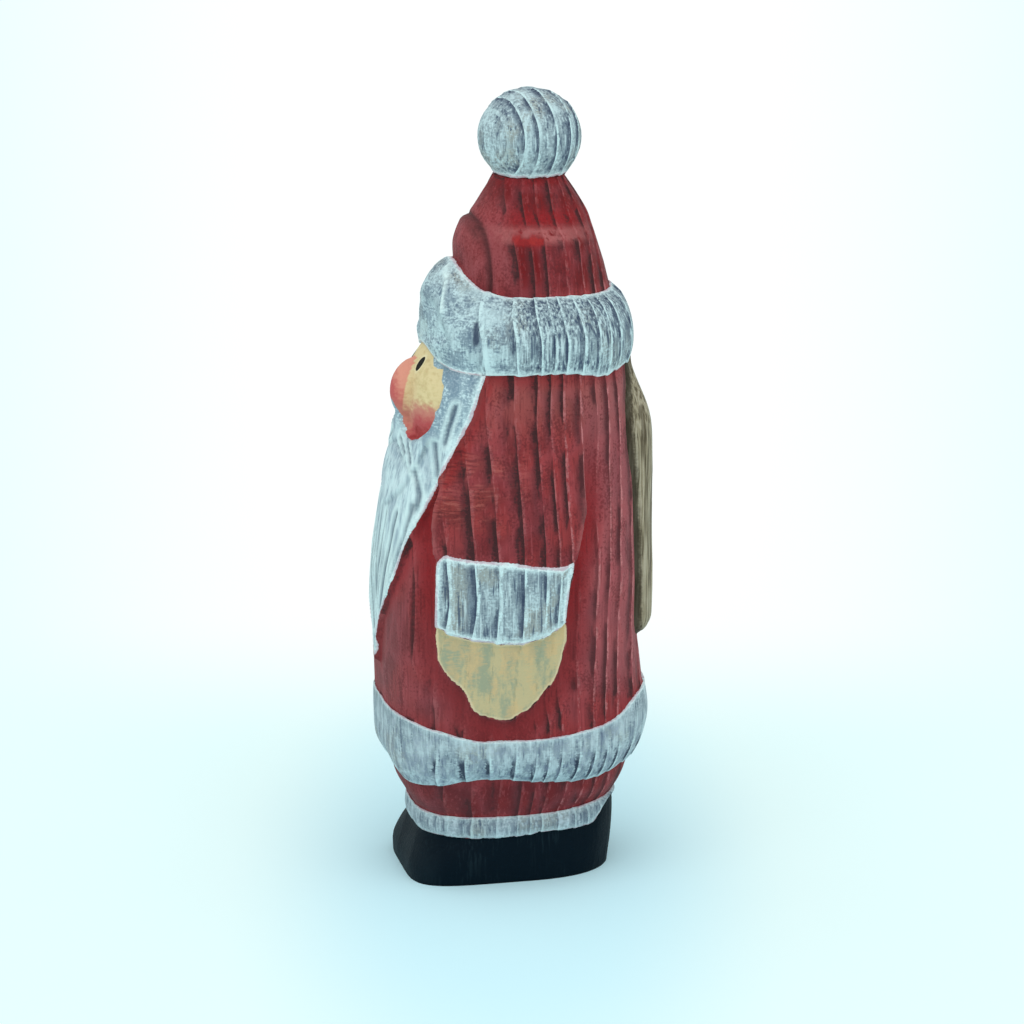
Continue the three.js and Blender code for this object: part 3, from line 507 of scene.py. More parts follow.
def closed_skin(name):
    """The skin as a mesh, with a flat sole and a crown that close it."""
    rows = len(z)
    sole_and_crown = np.array([(0, 0, 0), (0, POMPOM_BEHIND, TOP)])
    points = np.concatenate([np.moveaxis(skin_points, 0, -1).reshape(-1, 3), sole_and_crown]) * MM
    corner = np.arange(rows * COLUMNS).reshape(rows, COLUMNS)
    beside = np.roll(corner, -1, axis=1)
    quads = np.stack([corner[:-1], beside[:-1], beside[1:], corner[1:]], axis=-1).reshape(-1, 4)
    sole, crown = rows * COLUMNS, rows * COLUMNS + 1
    fans = [(sole, b, a) for a, b in zip(corner[0], beside[0])]
    fans += [(crown, a, b) for a, b in zip(corner[-1], beside[-1])]
    mesh = bpy.data.meshes.new(name)
    mesh.from_pydata(points.tolist(), [], quads.tolist() + [tuple(map(int, fan)) for fan in fans])
    mesh.shade_smooth()
    return mesh


mesh = closed_skin("painted_carving")
carving = bpy.data.objects.new("painted_carving", mesh)
bpy.context.scene.collection.objects.link(carving)


# Painted areas
# Every colour meets the next along a hand-painted line. Each area is kept as a distance in
# millimetres, positive inside it, so the paint's edges stay sharp between the mesh's points.
def keep(name, values):
    """Keeps one number for each point of the skin under that name."""
    attribute = mesh.attributes.new(name, "FLOAT", "POINT")
    ends = [values[0].mean(), values[-1].mean()]
    attribute.data.foreach_set("value", np.concatenate([values.ravel(), ends]).astype(np.float32))


def along_skin(distance):
    """A distance that is kept in turns and heights, measured along the slopes of the carved skin."""
    grids = (skin_points, distance)
    step_across, change_across = ((np.roll(grid, -1, -1) - np.roll(grid, 1, -1)) / 2 for grid in grids)
    step_up, change_up = (np.gradient(grid, axis=-2) for grid in grids)
    across_squared, up_squared = (step_across**2).sum(0), (step_up**2).sum(0)
    skewed = (step_across * step_up).sum(0)
    squared = (up_squared * change_across**2 - 2 * skewed * change_across * change_up
               + across_squared * change_up**2)
    steepness = np.sqrt(np.maximum(squared, 0) / np.maximum(across_squared * up_squared - skewed**2, 1e-6))
    return distance / np.clip(steepness, 0.3, 3)


# Runs meet in a ledge, with a row of points on each side of it. These two distances put the edge
# of a painted band between the two rows.
INSIDE_LEDGE = 0.35
OUTSIDE_LEDGE = -0.3
TIP_TAPERS = 0.6
TIP_TAPERS_OVER = 5
POMPOM_PAINT_FROM = BASES["pompom"] + 0.15
SACK_PAINT_OVERLAP = 0.6


def band(name):
    """Distance inside a run that is painted all over."""
    lower, upper = (shift(angle) for shift in EDGE_SHIFT[name])
    from_ledges = np.minimum(z - BASES[name] - lower, BASES[name] + RUNS[name][0] + upper - z)
    return from_ledges + np.where(on[name], INSIDE_LEDGE, OUTSIDE_LEDGE)


def on_coat(distance):
    """A distance inside an area that is painted on the coat alone."""
    return np.where(on["coat"], distance, FAR_OUTSIDE)


white_cuff = np.minimum(across_arm, np.minimum(cuff_top - z, z - cuff_bottom))
tapering = TIP_TAPERS * (1 - smooth(z, BEARD_TIP, BEARD_TIP + TIP_TAPERS_OVER))
white_beard = np.where(turn < 0, np.maximum(across_beard + 0.1 - tapering, across_moustache), FAR_OUTSIDE)
bands = np.maximum.reduce([band("ankle cuff"), band("hem"), band("brim"), z - POMPOM_PAINT_FROM])
keep("white", along_skin(np.maximum(bands, on_coat(np.maximum(white_beard, white_cuff)))))
keep("cream", along_skin(on_coat(np.minimum(across_arm, cuff_bottom - z))))

# The white paint runs a little way in over the edge of the carved face, and down from the brim.
bare_skin = across_face - np.interp(
    z, [71.3, 72, 73, 74, 75, 76.4, 77.6, 79.3, 80], [-0.1, 0.4, 0.8, 0.3, -0.1, -0.1, 1.3, 2.0, 2.4])
under_brim_paint = np.interp(turn, [-80, -71, -69.5, -65, -60, -56], [82.5, 81, 80.2, 79.3, 79, 79.2]) - z
keep("skin", along_skin(on_coat(np.minimum(np.minimum(bare_skin, under_brim_paint), -turn))))
keep("black", along_skin(BASES["ankle cuff"] + heel_edge(angle) - z))
keep("olive", across_sack + SACK_PAINT_OVERLAP)

# Deep red where the knife left the hollows smooth; painted shade under brim, pompom and by the hem.
LEDGE_PATCH = [
    (-13, 98.9), (-11, 97.6), (-4, 97.1), (12, 97), (17, 97.8), (15, 98.9), (6, 99), (1, 98.6), (-4, 99)]
beside_beard = hump(across_beard + 1, 1.2) * coat_front
under_brim = smooth(z, COAT_TOP - 3, COAT_TOP - 0.5) * on["coat"]
above_hem = (1 - smooth(z - COAT_BOTTOM - hem_upper(angle), 0.5, 2.5)) * on["coat"]
sideward = np.abs(np.cos(angle)) ** 2
above_ledge = hump(z - LEDGE_TOP - 1, 1.3) * sideward * on["cap"]
ledge_top = 1 - smooth(z, LEDGE_TOP - 0.5, LEDGE_TOP + 0.2)
on_ledge = smooth(z, LEDGE_BOTTOM - 0.3, LEDGE_BOTTOM + 0.5) * ledge_top * sideward
ledge_patch = smooth(inside(LEDGE_PATCH), -0.1, 0.4)
under_pompom = smooth(z, BASES["pompom"] - 1.5, BASES["pompom"] - 0.3) * on["cap"]
below_hem = smooth(z, BASES["hem"] - 1.2, BASES["hem"]) * on["trousers"]
keep("deep_red_and_shade", np.clip(np.maximum.reduce([
    arm_hollow, 0.6 * under_brim, 0.5 * above_hem, 0.6 * beside_beard, above_ledge,
    0.6 * under_pompom, 0.5 * below_hem, ledge_patch]), 0, 1))
# Painted highlights on the cap's ledges, which face up to the light, and along the arms' edges.
arm_rim = 0.6 * hump(across_arm - 0.05, 0.35) * arm_fade * (z > CUFF_TOP + 1) * on["coat"]
keep("ledge_and_rim_highlight", np.maximum(on_ledge * on["cap"] * (1 - ledge_patch), arm_rim))

# Painted shade in the creases and cuts and under the fold, and two stain spots on the brim.
BRIM_SPOT_SIDE = [(-33, 83.8), (-33.6, 86.6), (-31.6, 87.4), (-29.4, 86.2), (-28.6, 84), (-31, 83.4)]
BRIM_SPOT_FRONT = [(-56.6, 86.6), (-55, 87), (-52, 85), (-52.6, 84.4), (-54.6, 85)]
fold_line = hump(across_fold + 0.2, 0.4) * on["cap"] * smooth(-y, 2, 3.5)
moustache_line = hump(across_moustache + 0.25, 0.35) * (z < FACE_BOTTOM) * coat_front
chin_line = hump(across_chin_tuft + 0.25, 0.35) * (z < MOUSTACHE_TIP) * coat_front
inside_beard = smooth(across_beard, 0.1, 0.6)
scoop_line = hump(across_scoop + 0.1, 0.7) * (z > SCOOP_LINE_FROM) * (turn < 0) * on["brim"]
fold_shade = smooth(across_fold, 1.6, 0.2) * (across_fold > -0.1) * on["cap"]
fold_shade = fold_shade * smooth(z, FOLD_SHADE_FROM, FOLD_SHADE_TO)
keep("crease", np.clip(np.maximum.reduce([
    fold_line, 0.6 * fold_shade, 0.3 * moustache_line * inside_beard, 0.3 * chin_line * inside_beard,
    0.8 * lock_lines, 0.3 * scoop_line, 1.6 * smooth(inside(BRIM_SPOT_SIDE), -0.1, 0.5),
    smooth(inside(BRIM_SPOT_FRONT), -0.1, 0.5)]), 0, 1))
lit_brim = hump(brim_line, 0.35) * (turn < 0) * on["brim"]
keep("lit_line", lit_brim + 0.6 * beside_locks)

CHEEK_TOP = 75.6
CHEEK_DEEPEST = 69
NOSE_TIP = (0, 75.2)
NOSE_RED_HALF_WIDTH = 2.5
NOSE_RED_HALF_HEIGHT = 4.6
EYE = (2.85, 79.0)
EYE_HALF_WIDTH = 0.72
EYE_HALF_HEIGHT = 1.05
EYE_TILT = 0.02
EYE_TURN_LIMIT = -30


def within_oval(place, half_width, half_height, tilt=0.0):
    """1 in the middle of an oval seen from the front, 0 on its edge and below 0 outside it."""
    out = np.abs(x) - place[0] - tilt * (z - place[1])
    return 1 - np.hypot(out / half_width, (z - place[1]) / half_height)


toward_nose = smooth(np.abs(x), 5.5, 3)
keep("cheek", smooth(-z, -CHEEK_TOP, -CHEEK_DEEPEST) * (1 - 0.5 * toward_nose) * on["coat"])
inside_nose = within_oval(NOSE_TIP, NOSE_RED_HALF_WIDTH, NOSE_RED_HALF_HEIGHT)
keep("nose", np.where(turn < 0, inside_nose, FAR_OUTSIDE))
inside_eye = within_oval(EYE, EYE_HALF_WIDTH, EYE_HALF_HEIGHT, EYE_TILT)
keep("eye", np.where((turn < EYE_TURN_LIMIT) & (on["coat"] | on["brim"]), inside_eye, FAR_OUTSIDE))

# The brushed growth rings and the knife's facets
# The block was wire-brushed, so its hard rings stand proud, each one steep on its front side. They
# run up the block in nearly upright sheets, and none shows where the skin lies flat along them.
# Each knife stroke left a shallow facet.
RING_EDGES = [
    -23, -20.6, -17.4, -14.2, -11.3, -8.1, -6, -4, -1.4, 1.2, 3, 4.9, 8, 11.6, 14.7, 18, 20, 23.2]
RING_DIRECTION = (0.325, -0.945, 0.02)
RING_ZERO_HEIGHT = 50
RING_PROFILE = [(0, 0.95), (0.1, 0), (0.4, 0.3), (0.75, 0.75), (1, 1)]
RING_MIDDLE = 0.6
RING_WAVE = 20
RING_GONE_AT = 0.86
RING_FULL_AT = 0.45
FACET_WIDTH = 6.5
FACET_HEIGHT = 11
FACET_MIDDLE = 0.3
# What the Geometry Nodes take, in millimetres.
CARVED_SIZES = {"Ring depth": 0.24, "Ring wander": 2.0, "Facet depth": 0.32}

# The runs that a ring passes through in one sweep, and how far up and down they are evened out.
SWEEPS = [("boots", "ankle cuff", "trousers"), ("hem", "coat"), ("brim",), ("cap",)]
EVENED_OVER = 5


def evened(values):
    """The skin's reach with its bulges evened out upward, so that the rings run up it nearly straight."""
    result = values.copy()
    height = z.mean(axis=1)
    for names in SWEEPS:
        rows = np.flatnonzero(np.logical_or.reduce([on[name][:, 0] for name in names]))
        weight = hump(height[rows, None] - height[None, rows], EVENED_OVER)
        result[rows] = weight @ values[rows] / weight.sum(axis=1, keepdims=True)
    return result


reach = evened(carved)
evened_skin = (reach * np.cos(angle), lean + reach * np.sin(angle), z)
keep("ring_place", sum(share * axis for share, axis in zip(RING_DIRECTION, evened_skin)))

bare = smooth(across_face, -0.3, 0.6) * on["coat"]
bearded = smooth(across_beard, -0.2, 0.4) * coat_front
low_on_hem = np.where(on["hem"], 0.7 - 0.6 * smooth(z - COAT_BOTTOM, -6.8, -4.5), 1)
behind_front = np.where(on["brim"], smooth(turn, -35, -31), 1)
on_fold = smooth(across_fold, -2.0, -0.7) * on["cap"]
by_run = np.select([on["boots"], on["ankle cuff"], on["trousers"], on["cap"]], [0.2, 0.5, 0.6, 0.9], 1.0)
smoothed = (1 - 0.85 * arm_hollow) * (1 - 0.9 * bare) * (1 - 0.7 * bearded) * (1 - 0.85 * on_fold)
keep("brushed", np.clip(smoothed * low_on_hem * behind_front * by_run * smooth(z, 0.3, 1.2), 0, 1))
keep("knifed", np.clip(smooth(z, 0.2, 1.5) * (1 - 0.8 * bare) * (1 - 0.6 * on["pompom"]), 0, 1))


# Every node goes into the tree in hand: the rings', then the paint's, the paper's and the light's.
def add(kind, links=None, **settings):
    """Adds a node with its settings. Links are given by the name or number of a shown input."""
    made = tree.nodes.new(kind)
    for name, value in settings.items():
        setattr(made, name, value)
    shown = [socket for socket in made.inputs if socket.enabled]
    for place, value in (links or {}).items():
        socket = shown[place] if isinstance(place, int) else next(s for s in shown if s.name == place)
        if isinstance(value, bpy.types.Node):
            value = next(s for s in value.outputs if s.enabled)
        if isinstance(value, bpy.types.NodeSocket):
            tree.links.new(value, socket)
        else:
            socket.default_value = value
    return made


def maths(operation, *values):
    """A node that works on numbers."""
    return add("ShaderNodeMath", dict(enumerate(values)), operation=operation)


def vectors(operation, *values):
    """A node that works on places or directions."""
    return add("ShaderNodeVectorMath", dict(enumerate(values)), operation=operation)


def times(*values):
    """The product of several numbers."""
    result = values[0]
    for value in values[1:]:
        result = maths("MULTIPLY", result, value)
    return result


def total(*shares):
    """The sum of several numbers, each given with its share."""
    result = 0.0
    for value, share in shares:
        result = maths("MULTIPLY_ADD", value, share, result)
    return result


def ramp(value, low, high, to_low=0.0, to_high=1.0):
    """A smooth slope of a value between two limits."""
    limits = {"Value": value, "From Min": low, "From Max": high, "To Min": to_low, "To Max": to_high}
    return add("ShaderNodeMapRange", limits, interpolation_type="SMOOTHSTEP")


def mottle(size, detail=3.0, upright=1.0, seed=0.0):
    """Noise from 0 to 1 with patches `size` millimetres wide and `upright` times as tall."""
    moved = vectors("MULTIPLY_ADD", in_mm, (1, 1, 1 / upright), (seed, 0, 0))
    return add("ShaderNodeTexNoise", {"Vector": moved, "Scale": 1 / size, "Detail": detail})


def curve_through(value, points):
    """A curve of a value with straight stretches between its points."""
    made = add("ShaderNodeFloatCurve", {"Value": value})
    curve = made.mapping.curves[0]
    for place, point in enumerate(points):
        if place < 2:
            curve.points[place].location = point
        else:
            curve.points.new(*point)
    for point in curve.points:
        point.handle_type = "VECTOR"
    made.mapping.update()
    return made


def named(name):
    """One of the numbers that the skin's points keep, in Geometry Nodes."""
    return add("GeometryNodeInputNamedAttribute", {"Name": name}, data_type="FLOAT")


# Geometry Nodes raise the rings and the facets, and leave their numbers on every point.
tree = bpy.data.node_groups.new("brushed growth rings", "GeometryNodeTree")
tree.interface.new_socket("Geometry", in_out="INPUT", socket_type="NodeSocketGeometry")
for name in CARVED_SIZES:
    tree.interface.new_socket(name, in_out="INPUT", socket_type="NodeSocketFloat")
tree.interface.new_socket("Geometry", in_out="OUTPUT", socket_type="NodeSocketGeometry")
given = add("NodeGroupInput").outputs
in_mm = vectors("SCALE", add("GeometryNodeInputPosition"), 1 / MM)

wave = total((mottle(RING_WAVE, detail=2.0), 1.0), (1.0, -0.5))
wandered = maths("MULTIPLY_ADD", wave, given["Ring wander"], named("ring_place"))
first, last, count = RING_EDGES[0], RING_EDGES[-1], len(RING_EDGES) - 1
level = RING_DIRECTION[2] * RING_ZERO_HEIGHT
share = add("ShaderNodeMapRange", {"Value": wandered, "From Min": first + level, "From Max": last + level})
steps = [((edge - first) / (last - first), number / count) for number, edge in enumerate(RING_EDGES)]
rings = times(curve_through(share, steps), count)
profile = total((curve_through(maths("FRACT", rings), RING_PROFILE), 1.0), (1.0, -RING_MIDDLE))
normal = add("GeometryNodeInputNormal")
along_ring = vectors("DOT_PRODUCT", normal, RING_DIRECTION)
cut_across = ramp(times(along_ring, along_ring), RING_GONE_AT, RING_FULL_AT)
grain = times(cut_across, named("brushed"))
ridge = times(profile, given["Ring depth"], grain)

cell = vectors("MULTIPLY", in_mm, (1 / FACET_WIDTH, 1 / FACET_WIDTH, 1 / FACET_HEIGHT))
middle, border = (add("ShaderNodeTexVoronoi", {"Vector": cell, "Scale": 1.0}, feature=feature)
                  for feature in ("F1", "DISTANCE_TO_EDGE"))
bowl = total((times(middle, middle), 1.0), (1.0, -FACET_MIDDLE))
facet = times(bowl, given["Facet depth"], named("knifed"))
offset = vectors("SCALE", normal, times(total((ridge, 1.0), (facet, 1.0)), MM))

material = bpy.data.materials.new("hand-painted brushed softwood")
result = given["Geometry"]
for name, value in (("ring", rings), ("grain", grain), ("facet_border", border)):
    result = add("GeometryNodeStoreNamedAttribute", {"Geometry": result, "Name": name, "Value": value},
                 data_type="FLOAT")
result = add("GeometryNodeSetPosition", {"Geometry": result, "Offset": offset})
result = add("GeometryNodeRealizeInstances", {"Geometry": result})
result = add("GeometryNodeSetMaterial", {"Geometry": result, "Material": material})
add("NodeGroupOutput", {"Geometry": result})

modifier = carving.modifiers.new("brushed growth rings", "NODES")
modifier.node_group = tree
for socket in tree.interface.items_tree:
    if socket.name in CARVED_SIZES:
        modifier[socket.identifier] = CARVED_SIZES[socket.name]
depsgraph = bpy.context.evaluated_depsgraph_get()
finished_mesh = bpy.data.meshes.new_from_object(
    carving.evaluated_get(depsgraph), preserve_all_data_layers=True, depsgraph=depsgraph)
carving.modifiers.clear()
carving.data = finished_mesh
bpy.data.meshes.remove(mesh)


# The paint
# Thin artist's acrylic, brushed on by hand over the bare wood and rubbed back. The white went
# on over a blue-grey stain and the red over umber, which show in the grain beside each ring.
def paint(code):
    """A colour written as sRGB hex, as the linear values that a shader takes."""
    parts = [int(code[at:at + 2], 16) / 255 for at in (1, 3, 5)]
    return tuple(p / 12.92 if p <= 0.04045 else ((p + 0.055) / 1.055) ** 2.4 for p in parts) + (1,)


material.use_nodes = True
tree = material.node_tree
tree.nodes.clear()
in_mm = vectors("SCALE", add("ShaderNodeTexCoord").outputs["Object"], 1 / MM)


def point_value(name):
    """One of the numbers that the skin's points keep, in the paint."""
    return add("ShaderNodeAttribute", attribute_name=name).outputs["Fac"]


def between(value, rise, full, fall, end):
    """A value's stretch: 1 from `full` to `fall`, with slopes up from `rise` and down to `end`."""
    return times(ramp(value, rise, full), ramp(value, end, fall))


def tint(under, over, amount):
    """One colour laid over another."""
    colours = {"A": under, "B": over, "Factor": amount}
    linear = {name: paint(value) if isinstance(value, str) else value for name, value in colours.items()}
    return add("ShaderNodeMix", linear, data_type="RGBA")


def coats(colour, *layers):
    """A colour with others laid over it in turn. The shares after each one are multiplied."""
    for over, *shares in layers:
        colour = tint(colour, over, times(*shares))
    return colour


# Where on the figure: height above the floor, and how far towards the back, in millimetres.
place = add("ShaderNodeSeparateXYZ", {0: in_mm}).outputs
height, backward = place["Z"], place["Y"]
white, cream, skin_area, black, olive = map(point_value, ("white", "cream", "skin", "black", "olive"))
nose, grain, crease, deep_red_and_shade = map(point_value, ("nose", "grain", "crease", "deep_red_and_shade"))
at_border = ramp(point_value("facet_border"), 0.15, 0.0)

# The marks of the brush and of wear, from fine to broad.
grit = mottle(0.35, detail=2.0)
threads = mottle(0.35, upright=18.0, seed=57)
strokes = mottle(0.6, upright=3.5, seed=31)
hatch = mottle(1.0, upright=0.25, seed=37)
scratches = mottle(2.4, detail=2.0, upright=0.15, seed=43)
patches = mottle(2.6, detail=2.0, upright=2.2, seed=7)
clouds = mottle(7.0, seed=19)
worn = ramp(mottle(3.0, upright=2.2, seed=11), 0.42, 0.58)
dark_thread, light_thread = ramp(threads, 0.44, 0.36), ramp(threads, 0.57, 0.65)
coat_middle = times(between(height, 54, 60, 67, 74), ramp(backward, 1, -5))
scratched = times(ramp(mottle(6.0, detail=2.0, upright=0.7, seed=47), 0.42, 0.58), coat_middle)
unsteady = total((mottle(2.2, detail=2.0, seed=71), 0.6), (grit, 0.35), (1.0, -0.475))
ragged = total((grit, 0.4), (strokes, 0.5), (hatch, 0.3), (1.0, -0.6))


def ragged_ramp(value, raggedness, low, high):
    """A smooth slope of a value between two limits that waver like the end of a brush mark."""
    return ramp(total((value, 1.0), (ragged, raggedness)), low, high)


def area(distance):
    """1 inside a painted area, with an unsteady hand-painted edge."""
    return ramp(total((distance, 1.0), (unsteady, 1.0)), -0.04, 0.04)


# Each growth ring runs from its foot at 0 to its ridge at 1.
ring = maths("FRACT", point_value("ring"))
towards_foot = times(ramp(ring, 0.75, 0.1), grain)
foot = times(ragged_ramp(ring, 1.3, 0.31, 0.1), grain)
narrow_foot = times(ragged_ramp(ring, 0.9, 0.2, 0.06), grain)
ridge_line = times(ragged_ramp(ring, 0.6, 0.82, 0.97), grain)

# Heights between which the paint changes, in millimetres.
ONTO_CAP = (90, 92)
ONTO_COAT = (28, 34)
OFF_HEM = (26, 31)


def red_paint():
    """Dull crimson, deep red where the knife left it smooth, with painted shade and painted highlights."""
    tone = total((grit, 0.4), (strokes, 0.25), (patches, 0.35))
    # Painted highlights on the cap's ledges and along the arms' edges.
    ledge_and_rim_highlight = point_value("ledge_and_rim_highlight")
    highlight_patches = ramp(total((patches, 0.5), (strokes, 0.5)), 0.36, 0.52)
    # Painted sheen: the coat lighter towards the back, where light glances along it.
    lit_coat_back = times(ramp(backward, 5, 11), between(height, *ONTO_COAT, 80, 90))
    low_front = times(ramp(backward, -7, -11), ramp(height, 60, 50))
    on_trousers = ramp(height, 17.5, 16)
    # Painted light on the tops of the shoulders, which face up to the lamp.
    lit_shoulders = between(height, 67, 76, 78.8, 79.2)
    cap_front = times(between(height, *ONTO_CAP, 101, 106), ramp(backward, -0.5, -3))
    patch_on_ledge = times(ramp(deep_red_and_shade, 0.5, 1.0), between(height, 96.6, 97.2, 99.2, 99.8))
    low_sleeve = between(height, 30, 50, 51, 57)
    behind_arm = times(ramp(backward, 3, 9), between(height, *ONTO_COAT, 79, 80))
    # Painted highlights along the rings' ridges, stronger towards the back.
    ridge_highlights = times(ridge_line, ramp(strokes, 0.4, 0.56), ramp(height, *ONTO_CAP, 1.0, 0.5))
    often = ramp(total((worn, 1.0), (low_sleeve, 0.8), (ledge_and_rim_highlight, -0.8)), 0.1, 0.9)
    bare_foot = times(foot, often, total((grit, 1.0), (1.0, 0.45)), total((behind_arm, -0.55), (1.0, 1.0)))
    return coats(
        "#94383A",
        ("#7A2C30", ramp(clouds, 0.42, 0.6)),
        ("#6C1013", ramp(height, *ONTO_CAP), 0.76),
        # Painted sheen on the back of the coat.
        ("#B06A70", lit_coat_back, 0.42),
        ("#6B484C", low_front, 0.3),
        ("#5C1519", on_trousers, 0.42),
        ("#B0585C", light_thread, 0.3),
        # Painted light on the tops of the shoulders.
        ("#A0615C", lit_shoulders, 0.4),
        ("#93453F", scratched, 0.5),
        ("#A3525A", at_border, 0.25),
        ("#B5675F", ramp(scratches, 0.54, 0.62), scratched, 0.4),
        # Painted highlights along the rings' ridges, stronger towards the back.
        ("#BC7476", ridge_highlights, ramp(backward, 0, 8, 0.3, 1.0)),
        ("#542A2F", towards_foot, total((worn, 0.6), (ramp(height, 20, 17), 0.4), (1.0, 0.25))),
        ("#5E2428", ramp(tone, 0.5, 0.6), 0.6),
        # Deep red in the smooth hollows; painted shade under the brim, the pompom and by the hem.
        (tint("#8C3236", "#952126", ramp(height, 38, 48)), deep_red_and_shade, ramp(tone, 0.62, 0.4, 0.55, 0.9)),
        ("#AE6064", cap_front, ramp(tone, 0.62, 0.42, 0.1, 0.4)),
        ("#5A2328", dark_thread, ramp(clouds, 0.6, 0.4), 0.45),
        # Painted highlights on the cap's ledges and along the arms' edges, broken in patches.
        ("#BB6E6E", ledge_and_rim_highlight, highlight_patches, 0.6),
        ("#A0302E", patch_on_ledge, ramp(strokes, 0.36, 0.6, 0.75, 0.2)),
        ("#4A2126", ramp(scratches, 0.45, 0.38), scratched, 0.45),
        # Stain in the rings' feet, and painted shade in the creases and cuts.
        ("#3E2426", total((bare_foot, 1.0), (crease, 0.85))))


def beard_paint():
    """Fine upright hairs over soft patches, bluer beside the face and greyer towards the tip."""
    hairs = mottle(0.45, upright=8.0, seed=61)
    return coats(
        "#C9E1E6",
        ("#98ADBA", ramp(total((hairs, 0.35), (patches, 0.65)), 0.42, 0.6)),
        ("#768B9D", ramp(hairs, 0.56, 0.66), ramp(clouds, 0.4, 0.6), 0.45),
        ("#DDEFF2", between(height, 54, 60, 66, 70), ramp(hairs, 0.62, 0.44), 0.35),
        ("#6F889B", ramp(height, 67, 72), ramp(total((grit, 0.6), (hatch, 0.4)), 0.36, 0.54), 0.8),
        ("#8EA0A3", ramp(height, 55, 48), ramp(total((hairs, 0.6), (grit, 0.4)), 0.4, 0.54), 0.6))


def white_paint():
    """Cool white, thick along its edges and worn to a blue-grey wash inside them."""
    tone = total((grit, 0.25), (strokes, 0.25), (hatch, 0.2), (patches, 0.3))
    in_beard = times(between(height, 31, 34, 78, 82), ramp(grain, 0.35, 0.2))
    brim_side = times(between(height, 79, 80, 90, 91), ramp(backward, -6, -1))
    brim_front = times(between(height, 79, 80, 90, 92), ramp(backward, -1, -6))
    broad = total((mottle(4.0, upright=0.8, seed=23), 0.55), (hatch, 0.25), (grit, 0.2))
    greyer = total((brim_side, 0.35), (ramp(height, 27.5, 26.5), 0.22))
    often = ramp(total((worn, 0.7), (strokes, 0.8), (ramp(height, 22, 20.5), 0.5)), 0.3, 0.8)
    bare_foot = times(foot, often, total((grit, 0.8), (threads, -0.8), (1.0, 0.75)))
    on_hem = between(height, 15, 17, 24.5, 27)
    dabs = total((mottle(1.1, upright=2.2, seed=113), 0.5), (grit, 0.25), (hatch, 0.25))
    nick = times(ragged_ramp(ring, 0.5, 0.21, 0.1), ramp(grain, 0.12, 0.35),
                 between(height, 16.2, 17.2, 20.4, 21.8), ramp(patches, 0.36, 0.5))
    border = times(ragged_ramp(white, 2.4, 1.5, 0.5), ramp(height, *OFF_HEM, 0.5, 1.0))
    thick_edge = times(ragged_ramp(white, 1.2, 0.85, 0.5), ramp(height, *OFF_HEM, 0.4, 0.8),
                       ramp(total((hatch, 0.5), (strokes, 0.5)), 0.42, 0.54))
    return coats(
        tint("#AFC0C8", "#BED5DA", ramp(height, *OFF_HEM)),
        ("#8E9FA7", ramp(tone, 0.4, 0.54)),
        ("#9E9E90", ramp(clouds, 0.5, 0.62), ramp(tone, 0.42, 0.54), 0.5),
        ("#5E6F83", towards_foot, total((worn, 0.5), (1.0, 0.15))),
        ("#56677A", ramp(tone, 0.54, 0.61), 0.6),
        ("#4A5A6E", dark_thread, ramp(patches, 0.36, 0.54), 0.85),
        ("#687A85", greyer, ramp(tone, 0.36, 0.5)),
        ("#CDE3E7", light_thread, ramp(height, 27, 29, 0.35, 0.6)),
        (tint("#C4DFE4", "#6C8396", ramp(broad, 0.46, 0.56)), brim_front, 0.5),
        ("#42526A", ramp(threads, 0.48, 0.38), brim_side, 0.7),
        ("#C6DEE3", ramp(threads, 0.53, 0.62), brim_side, 0.4),
        (beard_paint(), in_beard, 0.9),
        # Stain in the rings' feet and two brim spots, and painted shade in the creases and cuts.
        ("#38445A", total((bare_foot, 1.0), (crease, 0.9))),
        ("#C9DFE5", ramp(dabs, 0.47, 0.6), on_hem, 0.5),
        ("#74839A", ramp(dabs, 0.5, 0.42), on_hem, 0.4),
        ("#CFEAED", ridge_line, ramp(total((strokes, 1.0), (hatch, 0.5)), 0.58, 0.86), 0.9),
        ("#2C3648", nick, 0.9),
        ("#C9E2E6", border, 0.6),
        ("#DFF3F4", thick_edge),
        ("#DDF4F4", point_value("lit_line")),
        ("#C39CAB", ragged_ramp(white, 0.6, 0.55, 0.2), ramp(patches, 0.35, 0.55), 0.6))


def cream_paint():
    """Warm cream that lets a grey-green ground show in upright streaks."""
    tone = total((grit, 0.15), (strokes, 0.2), (mottle(3.2, upright=2.2, seed=91), 0.65))
    warm = total((mottle(2.6, upright=1.8, seed=127), 0.7), (hatch, 0.3))
    return coats(
        "#BFB189",
        ("#9A9F86", ramp(tone, 0.45, 0.58)),
        ("#D0B080", ramp(warm, 0.49, 0.62), 0.55),
        ("#86846A", narrow_foot, ramp(strokes, 0.5, 0.6), 0.4),
        ("#E2CDA8", ramp(cream, 0.5, 0.1), 0.7))


def skin_paint():
    """Pale flesh with a red cheek and a pink nose blended in while wet, and a black dash for the eye."""
    smear = total((mottle(1.0, upright=0.6, seed=83), 1.0), (1.0, -0.5))
    redder = total((nose, 0.6), (ramp(height, 78.5, 72.5), 0.5), (smear, 0.6))
    red = total((point_value("cheek"), 1.0), (smear, 0.5))
    eye = point_value("eye")
    return coats(
        "#DECB9C",
        ("#D0BD8C", ramp(total((clouds, 0.5), (smear, 0.5)), 0.2, 0.35)),
        ("#DBA784", ramp(nose, -1.3, 0.0), ramp(height, 79, 74), 0.35),
        (tint("#DC9480", "#C25C5A", ramp(redder, 0.22, 0.7)), ramp(nose, -0.01, 0.04)),
        ("#C47E70", ramp(red, 0.02, 0.42)),
        ("#B65455", ramp(red, 0.4, 0.78)),
        ("#9A3234", ramp(red, 0.78, 1.1)),
        ("#EAE3BE", ramp(eye, -0.5, -0.2), 0.4),
        ("#14150F", ramp(eye, -0.03, 0.03)))


